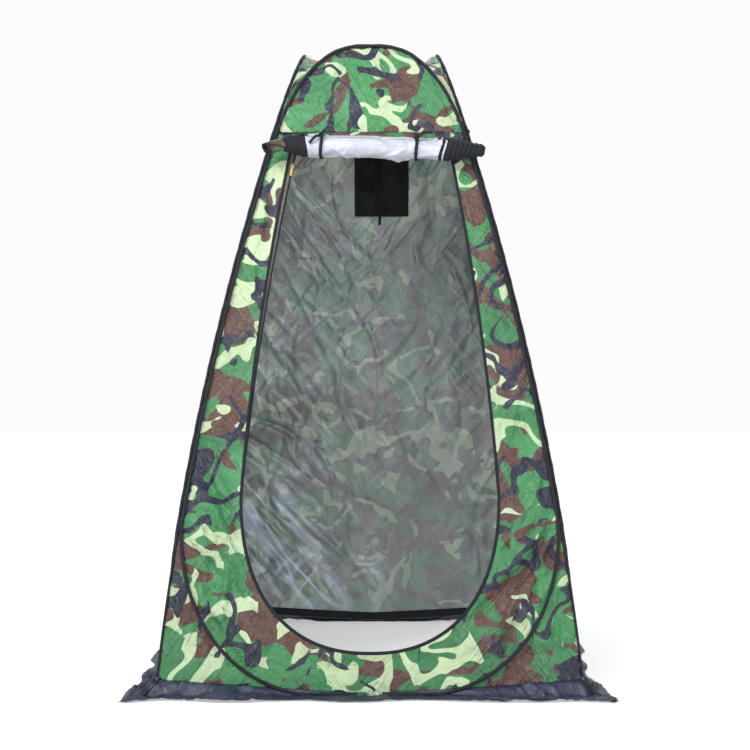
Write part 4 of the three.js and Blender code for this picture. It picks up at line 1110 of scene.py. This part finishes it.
def build_tie(side, x, radius, tail, short_tail):
    """Black tape round the roll, hung from the header seam and knotted in front."""
    axis_y, axis_z = roll_axis(x)
    angle = np.linspace(-0.6, 2 * math.pi - 0.6, 60)
    loop_y, loop_z = axis_y - radius * np.cos(angle), axis_z + radius * np.sin(angle)
    loop = np.stack([x + 0.002 * np.sin(angle * 2), loop_y, loop_z], 1)
    outwards = np.stack([0 * angle, -np.cos(angle), np.sin(angle)], 1)
    rings = sweep(loop, outwards, flat_section(TIE_WIDTH, TAPE_THICKNESS))
    place = (tape_look, "rolled_door", "black_tape")
    tube(f"tie_loop_{side}", rings, *place, [f"door_tie_{side}"])
    knot = np.array([x, axis_y - radius * 0.70 - 0.003, axis_z + radius * 0.70 + 0.003])
    seam = np.array([x, -wall_half(SEAM_Z) - 0.0028, SEAM_Z - 0.003])
    top = np.array([x, axis_y - 0.002, axis_z + radius + 0.0026])
    hanger = [seam, (seam + top) / 2 + [0, 0, -0.003], top, knot]
    ribbon(f"tie_strap_{side}", hanger, (0, -0.4, 1), TIE_WIDTH, "rolled_door")
    ends = {"end": (tail, [0, -0.004, 0.006]), "short_end": (short_tail, [0, -0.003, 0])}
    for part, (reach, bow) in ends.items():
        end = knot + np.array(reach)
        path = [knot, (knot + end) / 2 + bow, end]
        ribbon(f"tie_{part}_{side}", path, (0, -1, 0.3), TIE_END_WIDTH, "rolled_door")
    turns = np.linspace(0, 2 * math.pi * 1.6, 50)
    wrap = [0.0045 * np.cos(turns), -0.002 + 0.002 * np.sin(turns * 2), 0.0040 * np.sin(turns)]
    outwards = np.array([[0.0, -1.0, 0.0]])
    rings = sweep(knot + np.stack(wrap, 1), outwards, flat_section(0.0060, 0.0030))
    tube(f"tie_knot_{side}", rings, *place)


# ---- window


def cover_relief(across, level):
    """How far the window's cover stands off the wall: it hangs looser towards its lower end."""
    free = smooth(-level, -1.66, -1.50)
    u = (across + WINDOW_X) / FLAP_HALF
    relief = 0.0028 + 0.002 * free * np.abs(waves(across, level, 701, 0.12))
    folds = scatter_folds(24, (-0.14, 1.42), (0.08, 1.66), 1.3, 0.4, 0.07, 0.006, 0.0022, 702)
    relief = relief + 0.0025 * free * (1 - u * u) ** 2
    return relief + np.abs(fold_height(across, level, folds)) * free


def build_cover_tape():
    """The tape sewn down the middle of the cover, outside."""
    level = np.linspace(FLAP_HIGH.z - 0.003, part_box("window_tie_outer")[0][2], 60)
    across = np.full_like(level, -WINDOW_X)
    path = quarter(on_face(across, level, cover_relief(across, level) + 0.0011), 2)
    rings = sweep(path, np.array([[0.0, 1.0, 0.0]]), flat_section(WINDOW_TAPE_WIDTH, TAPE_THICKNESS))
    place = (tape_look, "window_cover", "black_tape", ["window_tie_outer"])
    tube("window_cover_tape", rings, *place)


def build_window():
    dress("window_mesh", mesh_look)
    dress("window_frame", tape_look)
    u = np.linspace(-1, 1, 70)[None]
    z = np.linspace(FLAP_LOW.z, FLAP_HIGH.z, 80)[:, None]
    across = -WINDOW_X + FLAP_HALF * u + 0 * z
    level = z + 0 * u
    points = quarter(on_face(across, level, cover_relief(across, level)).reshape(-1, 3), 2)
    faces = grid_faces(80, 70)
    looks, nodes = [camo_looks["flap"], lining_looks["flap"]], ["window_flap"]
    name = "window_cover"
    piece = make_piece(name, points, faces, looks, name, "camo_cloth", nodes)
    cloth(piece, 0.0010)
    build_cover_tape()
    low, high = (Vector(c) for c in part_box("window_tie_inner"))
    y = (low.y + high.y) / 2
    hang = [(low.x + 0.0045, y, high.z), (low.x + 0.005, y, 1.55)]
    hang += [(low.x + 0.002, y - 0.002, 1.46), (low.x - 0.003, y - 0.003, low.z)]
    ribbon("window_tie", hang, (0, -1, 0), WINDOW_TAPE_WIDTH, "cabin", ["window_tie_inner"])


# ---- carried-over CAD nodes


def dress(node, look):
    """Gives a CAD node a finished material."""
    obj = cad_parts[node]
    for slot in obj.material_slots:
        slot.link = "DATA"
    obj.data.materials.clear()
    obj.data.materials.append(look)


def build_trim():
    for face in FACES:
        dress(f"hoop_ferrule_{face}", steel_look)
    for corner in CORNERS:
        dress(f"peg_loop_{corner}", tape_look)
        dress(f"guy_loop_{corner}", tape_look)
    for node in ("zip_slider", "zip_pull_outer", "zip_pull_inner"):
        dress(node, brass_look)
    dress("header_strap", camo_looks["strap"])
    dress("hoop_patch", camo_looks["patch"])
    dress("blank_label", label_look)


# ---- stage, light and camera


def build_stage():
    mesh = bpy.data.meshes.new("studio_floor")
    reach = 14.0
    corners = [(-reach, -reach, 0), (reach, -reach, 0), (reach, reach, 0), (-reach, reach, 0)]
    mesh.from_pydata(corners, [], [(0, 1, 2, 3)])
    floor = add_object("studio_floor", mesh)
    floor.location.z = -0.0005
    g = Look("studio_floor")
    tone = g.noise(g.coords, 0.4)
    away = g.node("ShaderNodeVectorMath", {0: g.coords}, operation="LENGTH").outputs["Value"]
    # The paper glows a little more far from the lamps, so that it meets the pale backdrop unseen.
    paper = g.finish(
        Base_Color=g.mix(tone, (0.70, 0.70, 0.70, 1), (0.74, 0.74, 0.74, 1)),
        Roughness=0.9,
        Emission_Color=(1, 1, 1, 1),
        Emission_Strength=g.ramp(away, 1.2, 7.0, 0.40, 0.52),
    )
    mesh.materials.append(paper)
    world = bpy.data.worlds.new("studio")
    bpy.context.scene.world = world
    world.use_nodes = True
    sky = Graph(world.node_tree)
    direction = sky.node("ShaderNodeTexCoord", {}).outputs["Generated"]
    dim = sky.ramp(sky.split(direction)[2], 0.30, 0.70)
    colour = sky.mix(dim, (0.97, 0.97, 0.97, 1), (0.58, 0.59, 0.61, 1))
    sky.put(world.node_tree.nodes["Background"], "Color", colour)


def add_area_light(name, place, target, size, power):
    data = bpy.data.lights.new(name, "AREA")
    data.shape = "SQUARE"
    data.size = size
    data.energy = power
    light = add_object(name, data)
    light.location = place
    light.rotation_euler = (Vector(target) - Vector(place)).to_track_quat("-Z", "Y").to_euler()


def build_lights():
    add_area_light("key", (-2.8, -3.6, 4.2), (0, 0, 0.9), 1.4, 185)
    add_area_light("fill", (3.4, -3.6, 2.2), (0, 0, 0.9), 2.0, 40)
    add_area_light("into_the_doorway", (1.1, -5.6, 1.3), (-0.2, 0.5, 0.6), 2.2, 50)
    add_area_light("onto_the_header", (-0.9, -2.8, 3.3), (0, -0.4, 1.85), 1.0, 34)
    add_area_light("top_back", (0.6, 3.0, 4.6), (0, 0, 1.5), 2.4, 60)


CAMERA_PLACE = (0.03, -4.94, 0.964)
CAMERA_TILT = math.radians(-0.78)


def build_camera():
    data = bpy.data.cameras.new("camera")
    data.sensor_width = 36
    data.lens = 74.2
    camera = add_object("camera", data)
    camera.location = CAMERA_PLACE
    camera.rotation_euler = Euler((math.pi / 2 + CAMERA_TILT, 0, math.radians(0.2)))
    bpy.context.scene.camera = camera


bpy.context.scene.view_settings.view_transform = "Standard"
build_camera()
build_stage()
build_lights()
build_hoops()
build_corner_piping()
build_side_walls()
build_back_wall()
build_front_wall()
build_header()
build_roof()
for side, quarter_turns in FACES.items():
    build_skirt(side, quarter_turns)
    build_hem_tape(side, quarter_turns)
build_door_edge()
build_roll()
for side, details in TIES.items():
    build_tie(side, *details)
build_window()
build_trim()
